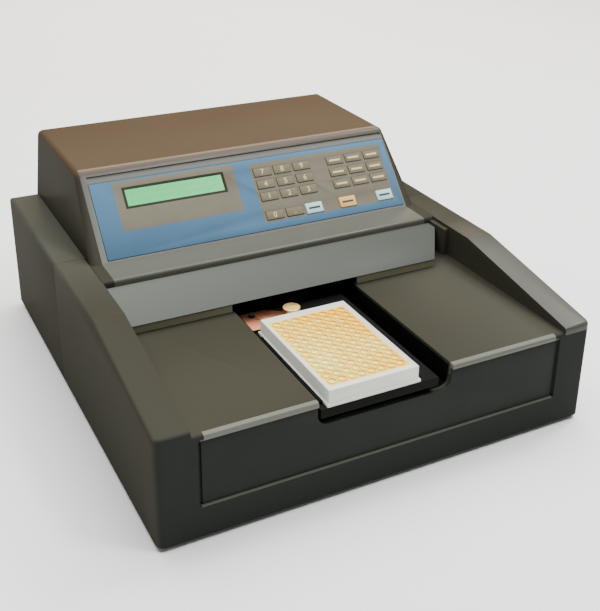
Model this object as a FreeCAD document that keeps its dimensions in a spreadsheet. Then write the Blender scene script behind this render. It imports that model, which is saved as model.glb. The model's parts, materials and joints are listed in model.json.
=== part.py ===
"""Bench microplate reader: a wedge-fronted case with a sliding plate carrier.

Millimetres. X runs to the right, Y to the back and Z up. The origin lies on the
bench, under the middle of the case.
"""
import FreeCAD, Part
import math
import os

import Sketcher
from FreeCAD import Rotation, Vector

os.makedirs("parts", exist_ok=True)
doc = FreeCAD.newDocument("microplate_reader")

# Driving sizes
SIZES = {
    # case outline
    "case_width": 404.0,
    "case_depth": 444.0,
    "foot_height": 4.5,
    "front_height": 99.5,
    "plateau_height": 125.5,
    "head_height": 194.2,
    "wing_knee": 148.0,
    "wing_width": 29.0,
    "deck_height": 95.0,
    "wall": 3.0,
    "corner_radius": 7.0,
    "edge_radius": 4.0,
    "inner_edge_radius": 3.0,
    "plateau_depth": 236.0,
    "cover_split": 179.0,
    "reveal": 0.4,
    "seat_gap": 0.25,
    # head and key panel
    "panel_foot": 201.0,
    "panel_top": 141.0,
    "head_draft": 7.0,
    "head_radius": 6.0,
    "overlay_margin": 14.0,
    "overlay_offset": 2.0,
    "overlay_top": 13.0,
    "overlay_length": 76.0,
    "overlay_sheet": 1.6,
    "overlay_recess": 1.2,
    "display_offset": -76.0,
    "display_place": 32.0,
    "display_width": 98.0,
    "display_length": 17.0,
    "display_frame": 2.0,
    "groove_place": 7.0,
    "groove_width": 2.6,
    "groove_depth": 1.6,
    "key_column": 21.8,
    "key_row": 13.0,
    "key_width": 18.4,
    "key_length": 8.6,
    "call_key_width": 18.4,
    "call_key_length": 10.8,
    "first_key_row": 28.5,
    "last_key_row": 74.5,
    "left_key_column": 16.0,
    "right_key_column": 98.0,
    "key_proud": 0.8,
    "key_flange": 0.8,
    "key_travel": 0.4,
    "key_gap": 0.35,
    # front of the case
    "fascia_margin": 34.0,
    "fascia_bottom": 32.5,
    "fascia_top": 90.5,
    "fascia_recess": 4.0,
    "fascia_sheet": 2.0,
    "fascia_side_gap": 3.0,
    # plate channel
    "channel_left": 68.5,
    "channel_right": 55.5,
    "channel_floor": 72.5,
    "channel_end_gap": 17.0,
    "notch_radius": 9.0,
    "liner_sheet": 2.0,
    "mouth_height": 110.0,
    "hood_gap": 0.4,
    "hood_drop": 6.0,
    "hood_taper": 24.0,
    "skirt_setback": 1.2,
    "hood_top_depth": 248.0,
    "hood_lip_depth": 284.0,
    "hood_lip_height": 103.5,
    "hood_sheet": 2.4,
    "pillar_width": 5.0,
    "pillar_depth": 28.0,
    # microplate, to the plate makers' common footprint
    "plate_length": 127.76,
    "plate_width": 85.48,
    "plate_height": 14.35,
    "plate_flange_height": 2.5,
    "plate_flange_width": 1.6,
    "plate_wall": 1.2,
    "well_pitch": 9.0,
    "well_bore": 6.8,
    "well_depth": 10.7,
    "plate_centre": -17.9,
    "plate_setback": 1.0,
    # carrier and its drive
    "carrier_top": 87.1,
    "carrier_thickness": 8.0,
    "carrier_left": 66.5,
    "carrier_right": 42.0,
    "carrier_length": 164.0,
    "carrier_lip": 2.6,
    "carrier_lip_height": 2.8,
    "lip_gap": 0.5,
    "seat_ledge": 5.0,
    "carrier_travel": 258.0,
    "rod_radius": 5.0,
    "rod_place": 46.0,
    "rod_height": 57.0,
    "rod_play": 0.05,
    "block_length": 40.0,
    "block_width": 24.0,
    "block_height": 21.0,
    "stem_width": 7.0,
    "pulley_radius": 8.0,
    "pulley_width": 7.0,
    "belt_width": 6.0,
    "belt_sheet": 1.4,
    "belt_play": 0.2,
    "pulley_place": 67.0,
    "drive_pulley_depth": 90.0,
    "idler_pulley_depth": 412.0,
    "motor_side": 42.0,
    "motor_length": 34.0,
    "shaft_radius": 2.5,
    # pusher that holds the plate against the carrier's front lips
    "pusher_sheet": 2.4,
    "roller_radius": 8.0,
    "roller_height": 11.6,
    "pusher_pin_radius": 3.0,
    # optics
    "bridge_height": 108.0,
    "bridge_sheet": 3.0,
    "bridge_left": 160.0,
    "bridge_right": 120.0,
    "bridge_leg_left": 85.0,
    "read_line": 172.0,
    "wheel_place": -115.0,
    "wheel_drop": 42.2,
    "wheel_radius": 32.0,
    "wheel_thickness": 5.0,
    "wheel_depth": 122.0,
    "filter_radius": 6.0,
    "filter_circle": 24.0,
    "beam_radius": 6.0,
    # electronics and back
    "tray_sheet": 2.0,
    "tray_rim": 12.0,
    "boss_radius": 5.0,
    "boss_height": 40.0,
    "screw_radius": 2.0,
    "screw_head_radius": 3.8,
    "screw_head_height": 2.2,
    "screw_length": 15.0,
    "screw_play": 0.05,
    "foot_radius": 9.0,
    "foot_inset": 42.0,
    "board_sheet": 1.6,
    "board_gap": 0.3,
    "standoff_height": 8.0,
    "rear_panel_sheet": 2.0,
    "rear_panel_inset": 8.0,
    "inlet_width": 27.0,
    "inlet_height": 20.0,
    "switch_width": 19.0,
    "switch_height": 13.0,
    "pivot_radius": 1.2,
    "port_width": 53.0,
    "port_height": 12.5,
    "board_length": 150.0,
    "supply_length": 110.0,
    "supply_setback": 50.0,
    "supply_height": 46.0,
    "supply_sheet": 1.5,
    "vent_pitch": 10.0,
    "vent_length": 90.0,
}

sheet = doc.addObject("Spreadsheet::Sheet", "sizes")
for row, (alias, number) in enumerate(SIZES.items(), start=1):
    sheet.set(f"A{row}", alias)
    sheet.set(f"B{row}", str(number))
    sheet.setAlias(f"B{row}", alias)
doc.recompute()


# A size carries its value and the spreadsheet expression that gives it
class Size:
    def __init__(self, text, value):
        self.text = text
        self.value = value

    def _join(self, sign, other, value, swap=False):
        other_text = other.text if isinstance(other, Size) else repr(float(other))
        pair = (other_text, self.text) if swap else (self.text, other_text)
        return Size(f"({pair[0]} {sign} {pair[1]})", value)

    def __add__(self, other):
        return self._join("+", other, self.value + number_of(other))

    def __radd__(self, other):
        return self._join("+", other, number_of(other) + self.value, swap=True)

    def __sub__(self, other):
        return self._join("-", other, self.value - number_of(other))

    def __rsub__(self, other):
        return self._join("-", other, number_of(other) - self.value, swap=True)

    def __mul__(self, other):
        return self._join("*", other, self.value * number_of(other))

    def __rmul__(self, other):
        return self._join("*", other, number_of(other) * self.value, swap=True)

    def __truediv__(self, other):
        return self._join("/", other, self.value / number_of(other))

    def __neg__(self):
        return Size(f"(0 - {self.text})", -self.value)


def number_of(item):
    return item.value if isinstance(item, Size) else float(item)


def root(item):
    return Size(f"sqrt({item.text})", math.sqrt(item.value))


def size(alias):
    return Size(f"sizes.{alias}", float(sheet.get(alias)))


def bind(item, prop, value):
    """Tie one property to its spreadsheet expression."""
    if isinstance(value, Size):
        item.setExpression(prop, value.text)
    else:
        setattr(item, prop, value)


def place(item, x=0.0, y=0.0, z=0.0, rotation=None):
    """Put an object at x, y, z with the places bound to the sheet."""
    spot = Vector(number_of(x), number_of(y), number_of(z))
    item.Placement = FreeCAD.Placement(spot, rotation or Rotation())
    for axis, value in (("x", x), ("y", y), ("z", z)):
        if isinstance(value, Size):
            item.setExpression(f"Placement.Base.{axis}", value.text)
    return item


# Axes for cylinders, whose own axis is Z
ALONG_X = Rotation(Vector(0, 1, 0), 90)
ALONG_Y = Rotation(Vector(1, 0, 0), -90)


def box(name, low_x, high_x, low_y, high_y, low_z, high_z):
    item = doc.addObject("Part::Box", name)
    bind(item, "Length", high_x - low_x)
    bind(item, "Width", high_y - low_y)
    bind(item, "Height", high_z - low_z)
    return place(item, low_x, low_y, low_z)


def rod(name, radius, length, x, y, z, along=None):
    item = doc.addObject("Part::Cylinder", name)
    bind(item, "Radius", radius)
    bind(item, "Height", length)
    return place(item, x, y, z, along)


def prism(name, sides, radius, length, x, y, z, along=None):
    """A rod of flat faces, for small or repeated round forms."""
    item = doc.addObject("Part::Prism", name)
    item.Polygon = sides
    bind(item, "Circumradius", radius)
    bind(item, "Height", length)
    return place(item, x, y, z, along)


def attach(body, name, plane, height=0.0):
    """A sketch on one of the body's own planes, raised by height."""
    sketch = body.newObject("Sketcher::SketchObject", name)
    origin_plane = [f for f in body.Origin.OriginFeatures if f.Role == f"{plane}_Plane"][0]
    sketch.AttachmentSupport = [(origin_plane, "")]
    sketch.MapMode = "FlatFace"
    sketch.AttachmentOffset = FreeCAD.Placement(Vector(0, 0, number_of(height)), Rotation())
    if isinstance(height, Size):
        sketch.setExpression("AttachmentOffset.Base.z", height.text)
    return sketch


def fix(sketch, kind, *parts):
    """Add one dimension whose last part may be a bound size."""
    value = parts[-1]
    which = sketch.addConstraint(Sketcher.Constraint(kind, *parts[:-1], number_of(value)))
    if isinstance(value, Size):
        sketch.setExpression(f"Constraints[{which}]", value.text)


def outline(sketch, points):
    """Draw a closed polygon whose corners are all dimensioned from the origin."""
    corners = [Vector(number_of(u), number_of(v), 0) for u, v in points]
    count = len(corners)
    for index in range(count):
        sketch.addGeometry(Part.LineSegment(corners[index], corners[(index + 1) % count]), False)
    for index in range(count):
        sketch.addConstraint(Sketcher.Constraint("Coincident", index, 2, (index + 1) % count, 1))
    for index, (u, v) in enumerate(points):
        fix(sketch, "DistanceX", -1, 1, index, 1, u)
        fix(sketch, "DistanceY", -1, 1, index, 1, v)
    return sketch


def profile(name, points, low, high, plane):
    """Pad a closed outline drawn in the YZ, XZ or XY plane from low to high."""
    body = doc.addObject("PartDesign::Body", name)
    sketch = outline(attach(body, f"{name}_sketch", plane), points)
    pad = body.newObject("PartDesign::Pad", f"{name}_pad")
    pad.Profile = sketch
    bind(pad, "Length", high - low)
    if plane == "YZ":
        place(body, x=low)
    elif plane == "XZ":
        place(body, y=high)
    else:
        place(body, z=low)
    return body


def cut(name, base, *tools):
    item = doc.addObject("Part::Cut", name)
    item.Base = base
    item.Tool = tools[0] if len(tools) == 1 else fuse(f"{name}_tools", *tools)
    return item


def fuse(name, *parts):
    item = doc.addObject("Part::MultiFuse", name)
    item.Shapes = list(parts)
    item.Refine = True
    return item


def common(name, *parts):
    item = doc.addObject("Part::MultiCommon", name)
    item.Shapes = list(parts)
    return item


def group(name, *parts):
    """Several equal or matching solids that are one entry in the parts list."""
    item = doc.addObject("Part::Compound", name)
    item.Links = list(parts)
    return item


def round_edges(name, base, radius, wanted):
    """Fillet the edges whose ends both satisfy wanted(edge)."""
    doc.recompute()
    item = doc.addObject("Part::Fillet", name)
    item.Base = base
    value = number_of(radius)
    item.Edges = [(index, value, value)
                  for index, edge in enumerate(base.Shape.Edges, start=1) if wanted(edge)]
    return item


NODES = []


def node(name, item):
    """Name a finished piece; the name is also its file's."""
    item.Label = name
    NODES.append(item)
    return item


def near(value, target, slack=0.05):
    return abs(value - number_of(target)) < slack


def ends(edge):
    return [vertex.Point for vertex in edge.Vertexes]


# Shared places
half_width = size("case_width") / 2
front = -(size("case_depth") / 2)
back = size("case_depth") / 2
wall = size("wall")
case_bottom = size("foot_height")
front_height = size("front_height")
plateau = size("plateau_height")
head_top = size("head_height")
deck = size("deck_height")
knee = front + size("wing_knee")
plateau_front = back - size("plateau_depth")
panel_foot = back - size("panel_foot")
panel_top = back - size("panel_top")
split = back - size("cover_split")
wing_inner = half_width - size("wing_width")
gap = size("seat_gap")
reveal = size("reveal")
channel_left = -size("channel_left")
channel_right = size("channel_right")
tray_floor = case_bottom + size("tray_sheet")
PAST = 1.0
ABOVE = 60.0

# The slanted key panel. Its pieces are drawn flat, with x across, minus y down the
# panel and z out of it, and are then laid on the slope from its top edge.
panel_run = panel_top - panel_foot
panel_rise = head_top - plateau
panel_slope = root(panel_run * panel_run + panel_rise * panel_rise)
panel_angle = math.degrees(math.atan2(panel_rise.value, panel_run.value))


def flat_box(name, x, down, width, length, low, high):
    """A block drawn flat, centred at x and down, from low to high off the panel."""
    return box(name, x - width / 2, x + width / 2, -(down + length / 2), -(down - length / 2),
               low, high)


def on_panel(item):
    """Lay a flat piece on the key panel."""
    place(item, y=panel_top, z=head_top, rotation=Rotation(Vector(1, 0, 0), panel_angle))
    item.setExpression("Placement.Rotation.Angle",
                       f"atan2({panel_rise.text}; {panel_run.text})")
    return item


# Case covers
# Two moulded shells, 3 mm thick, share one outline: side wings that slope down to
# the front, a deck between them, a plateau behind it and the head on the plateau.
def case_block(name, inset, side, low, tail):
    """The wing outline as one block, drawn inside the real one by inset."""
    outline = [
        (front + inset, low),
        (front + inset, front_height - side),
        (knee, plateau - side),
        (back + tail, plateau - side),
        (back + tail, low),
    ]
    return profile(name, outline, -(half_width - side), half_width - side, "YZ")


def head_block(name, inset, tail, low):
    """The head as a slanted prism whose ends lean in by the moulding draft."""
    run = inset * (panel_slope / panel_rise)
    outline = [
        (panel_foot + run, low),
        (panel_foot + run, plateau),
        (panel_top + run - inset * (panel_run / panel_rise), head_top - inset),
        (back + tail, head_top - inset),
        (back + tail, low),
    ]
    side_view = profile(f"{name}_side", outline, -half_width, half_width, "YZ")
    foot_half = wing_inner - inset
    top_half = wing_inner - size("head_draft") - inset
    front_view = profile(
        f"{name}_front",
        [(-foot_half, low), (-foot_half, plateau), (-top_half, head_top - inset),
         (top_half, head_top - inset), (foot_half, plateau), (foot_half, low)],
        front, back + tail, "XZ")
    return common(name, side_view, front_view)


def corner_edge(edge):
    a, b = ends(edge)[0], ends(edge)[-1]
    upright = near(a.x, b.x) and near(a.y, b.y) and abs(a.z - b.z) > 20
    return upright and near(abs(a.x), half_width) and near(a.y, front)


def lip_edge(edge):
    """The deck's front edge, the wings' inner edges and the plateau's front edge."""
    points = ends(edge)
    if len(points) < 2:
        return False
    a, b = points[0], points[-1]
    deck_front = near(a.y, front) and near(b.y, front) and near(a.z, deck) and near(b.z, deck)
    lip = (near(a.y, plateau_front) and near(b.y, plateau_front)
           and near(a.z, plateau) and near(b.z, plateau))
    return deck_front or lip


def wing_edge(edge):
    points = ends(edge)
    if len(points) < 2:
        return False
    high = all(p.z > front_height.value - 8 for p in points)
    long_side = all(near(abs(p.x), half_width, 0.6) for p in points)
    front_top = all(near(p.y, front, 0.6) for p in points)
    return high and (long_side or front_top)


def head_edge(edge):
    points = ends(edge)
    if len(points) < 2:
        return False
    a, b = points[0], points[-1]
    top = near(a.z, head_top) and near(b.z, head_top)
    lean = min(a.z, b.z) > plateau.value - 2 and abs(a.z - b.z) > 20
    rear = near(a.y, back) and near(b.y, back)
    return (top or lean) and not rear


rounded_case = round_edges("case_corners", case_block("case_form", 0.0, 0.0, case_bottom, 0.0),
                           size("corner_radius"), corner_edge)
rounded_case = round_edges("case_edges", rounded_case, size("edge_radius"), wing_edge)
deck_room = box("deck_room", -wing_inner, wing_inner, front - PAST, plateau_front,
                deck, head_top)
case_form = round_edges("case_lips", cut("case_deck", rounded_case, deck_room),
                        size("inner_edge_radius"), lip_edge)
rounded_head = round_edges("head_edges", head_block("head_form", 0.0, 0.0, plateau - PAST),
                           size("head_radius"), head_edge)
outer = fuse("case_outer", case_form, rounded_head)

front_skin = wall + size("fascia_recess")
case_void = case_block("case_void", front_skin, wall, case_bottom - PAST, PAST)
deck_keep = box("deck_keep", -(wing_inner + wall), wing_inner + wall, front - PAST,
                plateau_front + wall, deck - wall, head_top)
case_hollow = cut("case_hollow", case_void, deck_keep)
head_hollow = head_block("head_hollow", wall, PAST, plateau - wall - PAST)
shell = cut("case_shell", outer, case_hollow, head_hollow)

# Openings of the shells: the fascia's pocket, the plate channel with its rounded
# notch in the front wall, and the tunnel mouth under the plateau
fascia_half = half_width - size("fascia_margin")
pocket = box("fascia_pocket", -fascia_half, fascia_half, front - PAST,
             front + size("fascia_recess"), size("fascia_bottom"), size("fascia_top"))


def channel_cutter(name, rear, widen):
    """The channel's outline through the front wall and the deck, round at its foot."""
    blank = box(f"{name}_blank", channel_left - widen, channel_right + widen, front - PAST,
                rear, size("channel_floor") - widen, deck + PAST)

    def foot(edge):
        a, b = ends(edge)[0], ends(edge)[-1]
        low = near(a.z, size("channel_floor") - widen) and near(b.z, a.z)
        return low and abs(a.y - b.y) > 20
    return round_edges(name, blank, size("notch_radius"), foot)


notch = channel_cutter("channel_notch", plateau_front + wall + PAST, 0.0)
mouth = box("tunnel_mouth", channel_left, channel_right, plateau_front - PAST,
            plateau_front + wall + PAST, size("channel_floor"), size("mouth_height"))
overlay_x = size("overlay_offset")
overlay_width = (wing_inner - size("overlay_margin")) * 2
overlay_down = size("overlay_top") + size("overlay_length") / 2
display_x = size("display_offset")
display_down = size("display_place")
frame_width = size("display_width") + size("display_frame") * 2
frame_length = size("display_length") + size("display_frame") * 2
key_x = (size("left_key_column") + size("right_key_column")) / 2 + size("key_column")
key_span = (size("right_key_column") - size("left_key_column") + size("key_column") * 2
            + size("key_width"))
key_down = (size("first_key_row") + size("last_key_row")) / 2
key_rise = size("last_key_row") - size("first_key_row") + size("call_key_length")
panel_cuts = on_panel(fuse(
    "panel_cuts",
    flat_box("overlay_pocket", overlay_x, overlay_down, overlay_width,
             size("overlay_length"), -size("overlay_recess"), PAST),
    flat_box("panel_groove", overlay_x, size("groove_place"), overlay_width,
             size("groove_width"), -size("groove_depth"), PAST),
    flat_box("display_opening", display_x, display_down, frame_width, frame_length,
             -(wall * 2), PAST),
    flat_box("key_opening", key_x, key_down, key_span + 4.0, key_rise + 4.0, -(wall * 2),
             PAST)))
open_shell = cut("open_shell", shell, pocket, notch, mouth, panel_cuts)

rear_middle = box("rear_region_middle", -wing_inner, wing_inner, plateau_front - PAST,
                  back + PAST, deck, head_top + ABOVE)
rear_ends = box("rear_region_ends", -(half_width + PAST), half_width + PAST, split,
                back + PAST, case_bottom - PAST, head_top + ABOVE)
rear_region = fuse("rear_region", rear_middle, rear_ends)
rear_middle_wide = box("rear_gap_middle", -(wing_inner + reveal), wing_inner + reveal,
                       plateau_front - reveal, back + PAST, deck + 0.0, head_top + ABOVE)
rear_ends_wide = box("rear_gap_ends", -(half_width + PAST), half_width + PAST,
                     split - reveal, back + PAST, case_bottom - PAST, head_top + ABOVE)

# Screw bosses stand inside the side walls, and screws come up through the tray
boss_x = half_width - wall - size("boss_radius") + 0.5
BOSS_ROWS = {
    "front": (front + size("foot_inset"), split - size("foot_inset")),
    "rear": (split + size("foot_inset"), back - size("foot_inset") / 2),
}


def bosses(cover):
    parts = []
    for side in (-1, 1):
        for row, y in enumerate(BOSS_ROWS[cover]):
            name = f"{cover}_boss_{row}_{'left' if side < 0 else 'right'}"
            post = prism(name, 10, size("boss_radius"), size("boss_height"), boss_x * side, y,
                         tray_floor + gap)
            bore = prism(f"{name}_bore", 8, size("screw_radius") + size("screw_play"),
                         size("boss_height") / 2, boss_x * side, y, tray_floor + gap - PAST)
            parts.append(cut(f"{name}_post", post, bore))
    return parts


pillar_y = plateau_front - size("pillar_depth")
pillar = box("pillar", wing_inner - size("pillar_width"), wing_inner + wall / 2, pillar_y,
             plateau_front - reveal, deck - wall, plateau - wall)
front_part = cut("front_part", open_shell, rear_middle_wide, rear_ends_wide)
node("front_cover", fuse("front_cover_solid", front_part, pillar, *bosses("front")))
rear_part = common("rear_part", open_shell, rear_region)
node("rear_cover", fuse("rear_cover_solid", rear_part, *bosses("rear")))

# Front fascia: a dark sheet in the front wall's pocket, notched for the channel
fascia_blank = box("fascia_blank", -(fascia_half - size("fascia_side_gap")),
                   fascia_half - size("fascia_side_gap"),
                   front + size("fascia_recess") - size("fascia_sheet") - gap,
                   front + size("fascia_recess") - gap,
                   size("fascia_bottom") + gap, size("fascia_top") - gap)
node("front_fascia", cut("fascia_sheet_cut", fascia_blank,
                         channel_cutter("fascia_notch", plateau_front, 0.0)))

# Channel liner: a long black trough under the deck that the carrier runs along. It
# is slotted for the carriage's stem and open over the photocells.
liner = size("liner_sheet")
liner_front = front + front_skin + gap
liner_rear = back - size("channel_end_gap")
liner_top = deck - wall - gap
liner_floor = size("channel_floor")
liner_outer = box("liner_outer", channel_left - liner - gap, channel_right + liner + gap,
                  liner_front, liner_rear, liner_floor - liner, liner_top)
liner_inner = box("liner_inner", channel_left - gap, channel_right + gap,
                  liner_front - PAST, liner_rear - liner, liner_floor, liner_top + PAST)
rod_x = size("rod_place")
stem_low = rod_x - size("block_width") / 2
stem_high = stem_low + size("stem_width")
carrier_front = front + size("plate_setback") / 2
block_front = carrier_front + 46.0
slot_front = block_front - 6.0
slot_rear = block_front + size("block_length") + size("carrier_travel") + 6.0
stem_slot = box("stem_slot", stem_low - 2.0, stem_high + 2.0, slot_front, slot_rear,
                liner_floor - liner - PAST, liner_floor + PAST)
read_y = back - size("read_line")
cell_window = box("cell_window", size("plate_centre") - 38.0, size("plate_centre") + 38.0,
                  read_y - 10.0, read_y + 10.0, liner_floor - liner - PAST, liner_floor + PAST)
rail_top = size("carrier_top") - size("carrier_thickness") - gap
slide_rail = box("slide_rail", channel_left + 3.0, channel_left + 9.0, liner_front,
                 liner_rear - liner, liner_floor - liner / 2, rail_top)
liner_legs = [
    box(f"liner_leg_{index}", low, high, y, y + liner, tray_floor + gap, liner_floor - liner / 2)
    for index, (low, high, y) in enumerate((
        (channel_left, channel_left + 18.0, liner_front + 30.0),
        (channel_left, channel_left + 18.0, liner_rear - 30.0),
        (channel_right - 14.0, channel_right, liner_rear - 30.0)))]
liner_trough = cut("liner_trough", liner_outer, liner_inner, stem_slot, cell_window)
node("channel_liner", fuse("channel_liner_solid", liner_trough, slide_rail, *liner_legs))

# Tunnel hood: a bent sheet that leans out under the plateau and shades the mouth
hood_top_y = back - size("hood_top_depth")
hood_lip_y = back - size("hood_lip_depth")
hood_lip_z = size("hood_lip_height")
hood_sheet = size("hood_sheet")
hood_top_z = plateau - size("hood_drop")
hood_outline = [
    (hood_lip_y, hood_lip_z),
    (hood_top_y, hood_top_z),
    (plateau_front - gap, hood_top_z),
    (plateau_front - gap, hood_top_z - 9.0),
    (plateau_front - gap - hood_sheet, hood_top_z - 9.0),
    (plateau_front - gap - hood_sheet, hood_top_z - hood_sheet),
    (hood_top_y + hood_sheet / 2, hood_top_z - hood_sheet),
    (hood_lip_y + hood_sheet, hood_lip_z - hood_sheet / 2),
]
hood_left = -(wing_inner - size("hood_gap"))
hood_right = wing_inner - size("pillar_width") - size("hood_gap")
hood_bend = profile("hood_bend", hood_outline, hood_left, hood_right, "YZ")
hood_end = profile(
    "hood_end",
    [(hood_right - size("hood_taper"), hood_lip_y - PAST),
     (hood_right + PAST, hood_lip_y - PAST), (hood_right + PAST, hood_top_y), (hood_right, hood_top_y)],
    deck, plateau, "XY")
skirt_y = hood_lip_y + size("skirt_setback")
skirt_top = hood_lip_z + 0.4
hood_skirts = [
    box(f"hood_skirt_{side}", low, high, skirt_y, skirt_y + hood_sheet, deck + gap, skirt_top)
    for side, low, high in (
        ("left", hood_left, channel_left - 2.0),
        ("right", channel_right + 2.0, hood_right - size("hood_taper") + 0.6))]
node("tunnel_hood", fuse("tunnel_hood_solid", cut("hood_cut", hood_bend, hood_end),
                         *hood_skirts))

# Key panel: a printed overlay in the panel's pocket, the display's window and keys
overlay_low = gap / 2 - size("overlay_recess")
overlay_high = overlay_low + size("overlay_sheet")


def key_list():
    """Every key as its name, x, distance down the panel, width and length."""
    small = (size("key_width"), size("key_length"))
    call = (size("call_key_width"), size("call_key_length"))
    keys = []
    for side in ("left", "right"):
        for row in range(3):
            for column in range(3):
                x = size(f"{side}_key_column") + size("key_column") * float(column)
                down = size("first_key_row") + size("key_row") * float(row)
                keys.append((f"key_{side}_{row + 1}_{column + 1}", x, down, *small))
    last = size("last_key_row")
    left = size("left_key_column")
    right = size("right_key_column")
    keys.append(("key_left_4_1", left, last, *small))
    keys.append(("key_left_4_2", left + size("key_column"), last, *small))
    keys.append(("key_enter", left + size("key_column") * 2.0, last, *call))
    keys.append(("key_stop", right, last, *call))
    keys.append(("key_start", right + size("key_column") * 2.0, last, *call))
    return keys


overlay_blank = flat_box("overlay_blank", overlay_x, overlay_down,
                         overlay_width - reveal * 2.0,
                         size("overlay_length") - reveal * 2.0, overlay_low, overlay_high)
overlay_holes = [flat_box("window_hole", display_x, display_down, size("display_width"),
                          size("display_length"), overlay_low - PAST, overlay_high + PAST)]
for name, x, down, width, length in key_list():
    overlay_holes.append(flat_box(f"{name}_hole", x, down, width + size("key_gap") * 2.0,
                                  length + size("key_gap") * 2.0, overlay_low - PAST,
                                  overlay_high + PAST))
node("keypad_overlay", on_panel(cut("overlay_sheet_cut", overlay_blank, *overlay_holes)))
window_blank = flat_box("window_blank", display_x, display_down,
                        size("display_width") - gap * 2.0, size("display_length") - gap * 2.0,
                        overlay_low, overlay_high - 0.4)
node("display_window", on_panel(group("window_piece", window_blank)))

# Each key has a flange that stops it behind the overlay
flange_high = overlay_low - size("board_gap")
flange_low = flange_high - size("key_flange")
for name, x, down, width, length in key_list():
    cap = flat_box(f"{name}_cap", x, down, width, length, flange_low,
                   overlay_high + size("key_proud"))
    flange = flat_box(f"{name}_flange", x, down, width + 1.6, length + 1.6, flange_low,
                      flange_high)
    node(name, on_panel(fuse(f"{name}_form", cap, flange)))

# One board behind the panel carries the display and the contacts under the keys
board_top = -(wall + size("board_gap"))
key_bed_top = flange_low - size("key_travel") - size("board_gap")
display_left = display_x - frame_width / 2
keys_right = key_x + key_span / 2
panel_board = flat_box("panel_board_sheet", (display_left + keys_right) / 2, overlay_down,
                       keys_right - display_left + 6.0, size("overlay_length") - 6.0,
                       board_top - size("board_sheet"), board_top)
display_block = flat_box("display_block", display_x, display_down, frame_width - gap * 2.0,
                         frame_length - gap * 2.0, board_top - 0.5, overlay_low - gap)
key_bed = flat_box("key_bed", key_x, key_down, key_span + 3.0, key_rise + 3.0,
                   board_top - 0.5, key_bed_top)
node("panel_board", on_panel(fuse("panel_board_form", panel_board, display_block, key_bed)))

# Microplate: a clear moulded skirt and deck with a grid of wells
plate_y = front + size("plate_setback")
plate_x = size("plate_centre") - size("plate_width") / 2
seat_z = size("carrier_top") + 0.05
plate_top = seat_z + size("plate_height")
flange_width = size("plate_flange_width")
plate = doc.addObject("PartDesign::Body", "microplate")


def rectangle(inset):
    """The plate's footprint, drawn inside its flange by inset."""
    low = Size("0", 0.0) + inset
    return [(low, low), (size("plate_width") - inset, low),
            (size("plate_width") - inset, size("plate_length") - inset),
            (low, size("plate_length") - inset)]


def plate_feature(kind, name, sketch, length):
    feature = plate.newObject(f"PartDesign::{kind}", name)
    feature.Profile = sketch
    bind(feature, "Length", length)
    return feature


plate_wall = size("plate_wall")
skirt_sketch = outline(attach(plate, "skirt_sketch", "XY"), rectangle(0.0))
plate_feature("Pad", "plate_skirt", skirt_sketch, size("plate_flange_height"))
block_sketch = outline(attach(plate, "block_sketch", "XY"), rectangle(flange_width))
plate_feature("Pad", "plate_block", block_sketch, size("plate_height"))
under_sketch = outline(attach(plate, "under_sketch", "XY"),
                       rectangle(flange_width + plate_wall))
under = plate_feature("Pocket", "plate_under", under_sketch,
                      size("plate_height") - size("well_depth") - plate_wall)
under.Reversed = True
well_sketch = attach(plate, "well_sketch", "XY", size("plate_height"))
well_x = size("plate_width") / 2 - size("well_pitch") * 3.5
well_y = size("plate_length") / 2 - size("well_pitch") * 5.5
well_radius = size("well_bore") / 2
outline(well_sketch, [
    (well_x + well_radius * round(math.cos(math.radians(22.5 + 45 * index)), 6),
     well_y + well_radius * round(math.sin(math.radians(22.5 + 45 * index)), 6))
    for index in range(8)])
well = plate_feature("Pocket", "plate_well", well_sketch, size("well_depth"))
doc.recompute()
well_grid = plate.newObject("PartDesign::MultiTransform", "well_grid")
well_grid.Originals = [well]
wells_across = plate.newObject("PartDesign::LinearPattern", "wells_across")
wells_across.Direction = (well_sketch, ["H_Axis"])
bind(wells_across, "Length", size("well_pitch") * 7.0)
wells_across.Occurrences = 8
wells_along = plate.newObject("PartDesign::LinearPattern", "wells_along")
wells_along.Direction = (well_sketch, ["V_Axis"])
bind(wells_along, "Length", size("well_pitch") * 11.0)
wells_along.Occurrences = 12
well_grid.Transformations = [wells_across, wells_along]
plate.Tip = well_grid
node("microplate", place(plate, plate_x, plate_y, seat_z))
first_x = plate_x + well_x

# Plate carrier: a dark frame open under the wells, with lips that locate the plate
carrier_low = size("carrier_top") - size("carrier_thickness")
carrier_top = size("carrier_top")
carrier_rear = carrier_front + size("carrier_length")
ledge = size("seat_ledge")
lip = size("carrier_lip")
lip_top = carrier_top + size("carrier_lip_height")
lip_gap = size("lip_gap")
carrier_slab = box("carrier_slab", -size("carrier_left"), size("carrier_right"),
                   carrier_front, carrier_rear, carrier_low, carrier_top)
carrier_window = box("carrier_window", plate_x + ledge,
                     plate_x + size("plate_width") - ledge, plate_y + ledge,
                     plate_y + size("plate_length") - ledge,
                     carrier_low - PAST, carrier_top + PAST)
left_lip = box("carrier_left_lip", plate_x - lip_gap - lip, plate_x - lip_gap,
               carrier_front + 8.0, carrier_rear - 46.0, carrier_low, lip_top)
right_lip = box("carrier_right_lip", plate_x + size("plate_width") + lip_gap,
                plate_x + size("plate_width") + lip_gap + lip, carrier_front + 8.0,
                carrier_rear - 40.0, carrier_low, lip_top)
plate_rear = plate_y + size("plate_length")
rear_lip = box("carrier_rear_lip", size("plate_centre") + 16.0,
               plate_x + size("plate_width"), plate_rear + lip_gap, plate_rear + lip_gap + lip,
               carrier_low, lip_top)
pin_x = plate_x + 6.0
pin_y = carrier_rear - 9.0
pusher_low = carrier_top + gap
pusher_pin = rod("pusher_pin", size("pusher_pin_radius") - 0.06,
                 size("pusher_sheet") + 4.0, pin_x, pin_y, carrier_top - 1.0)
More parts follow.
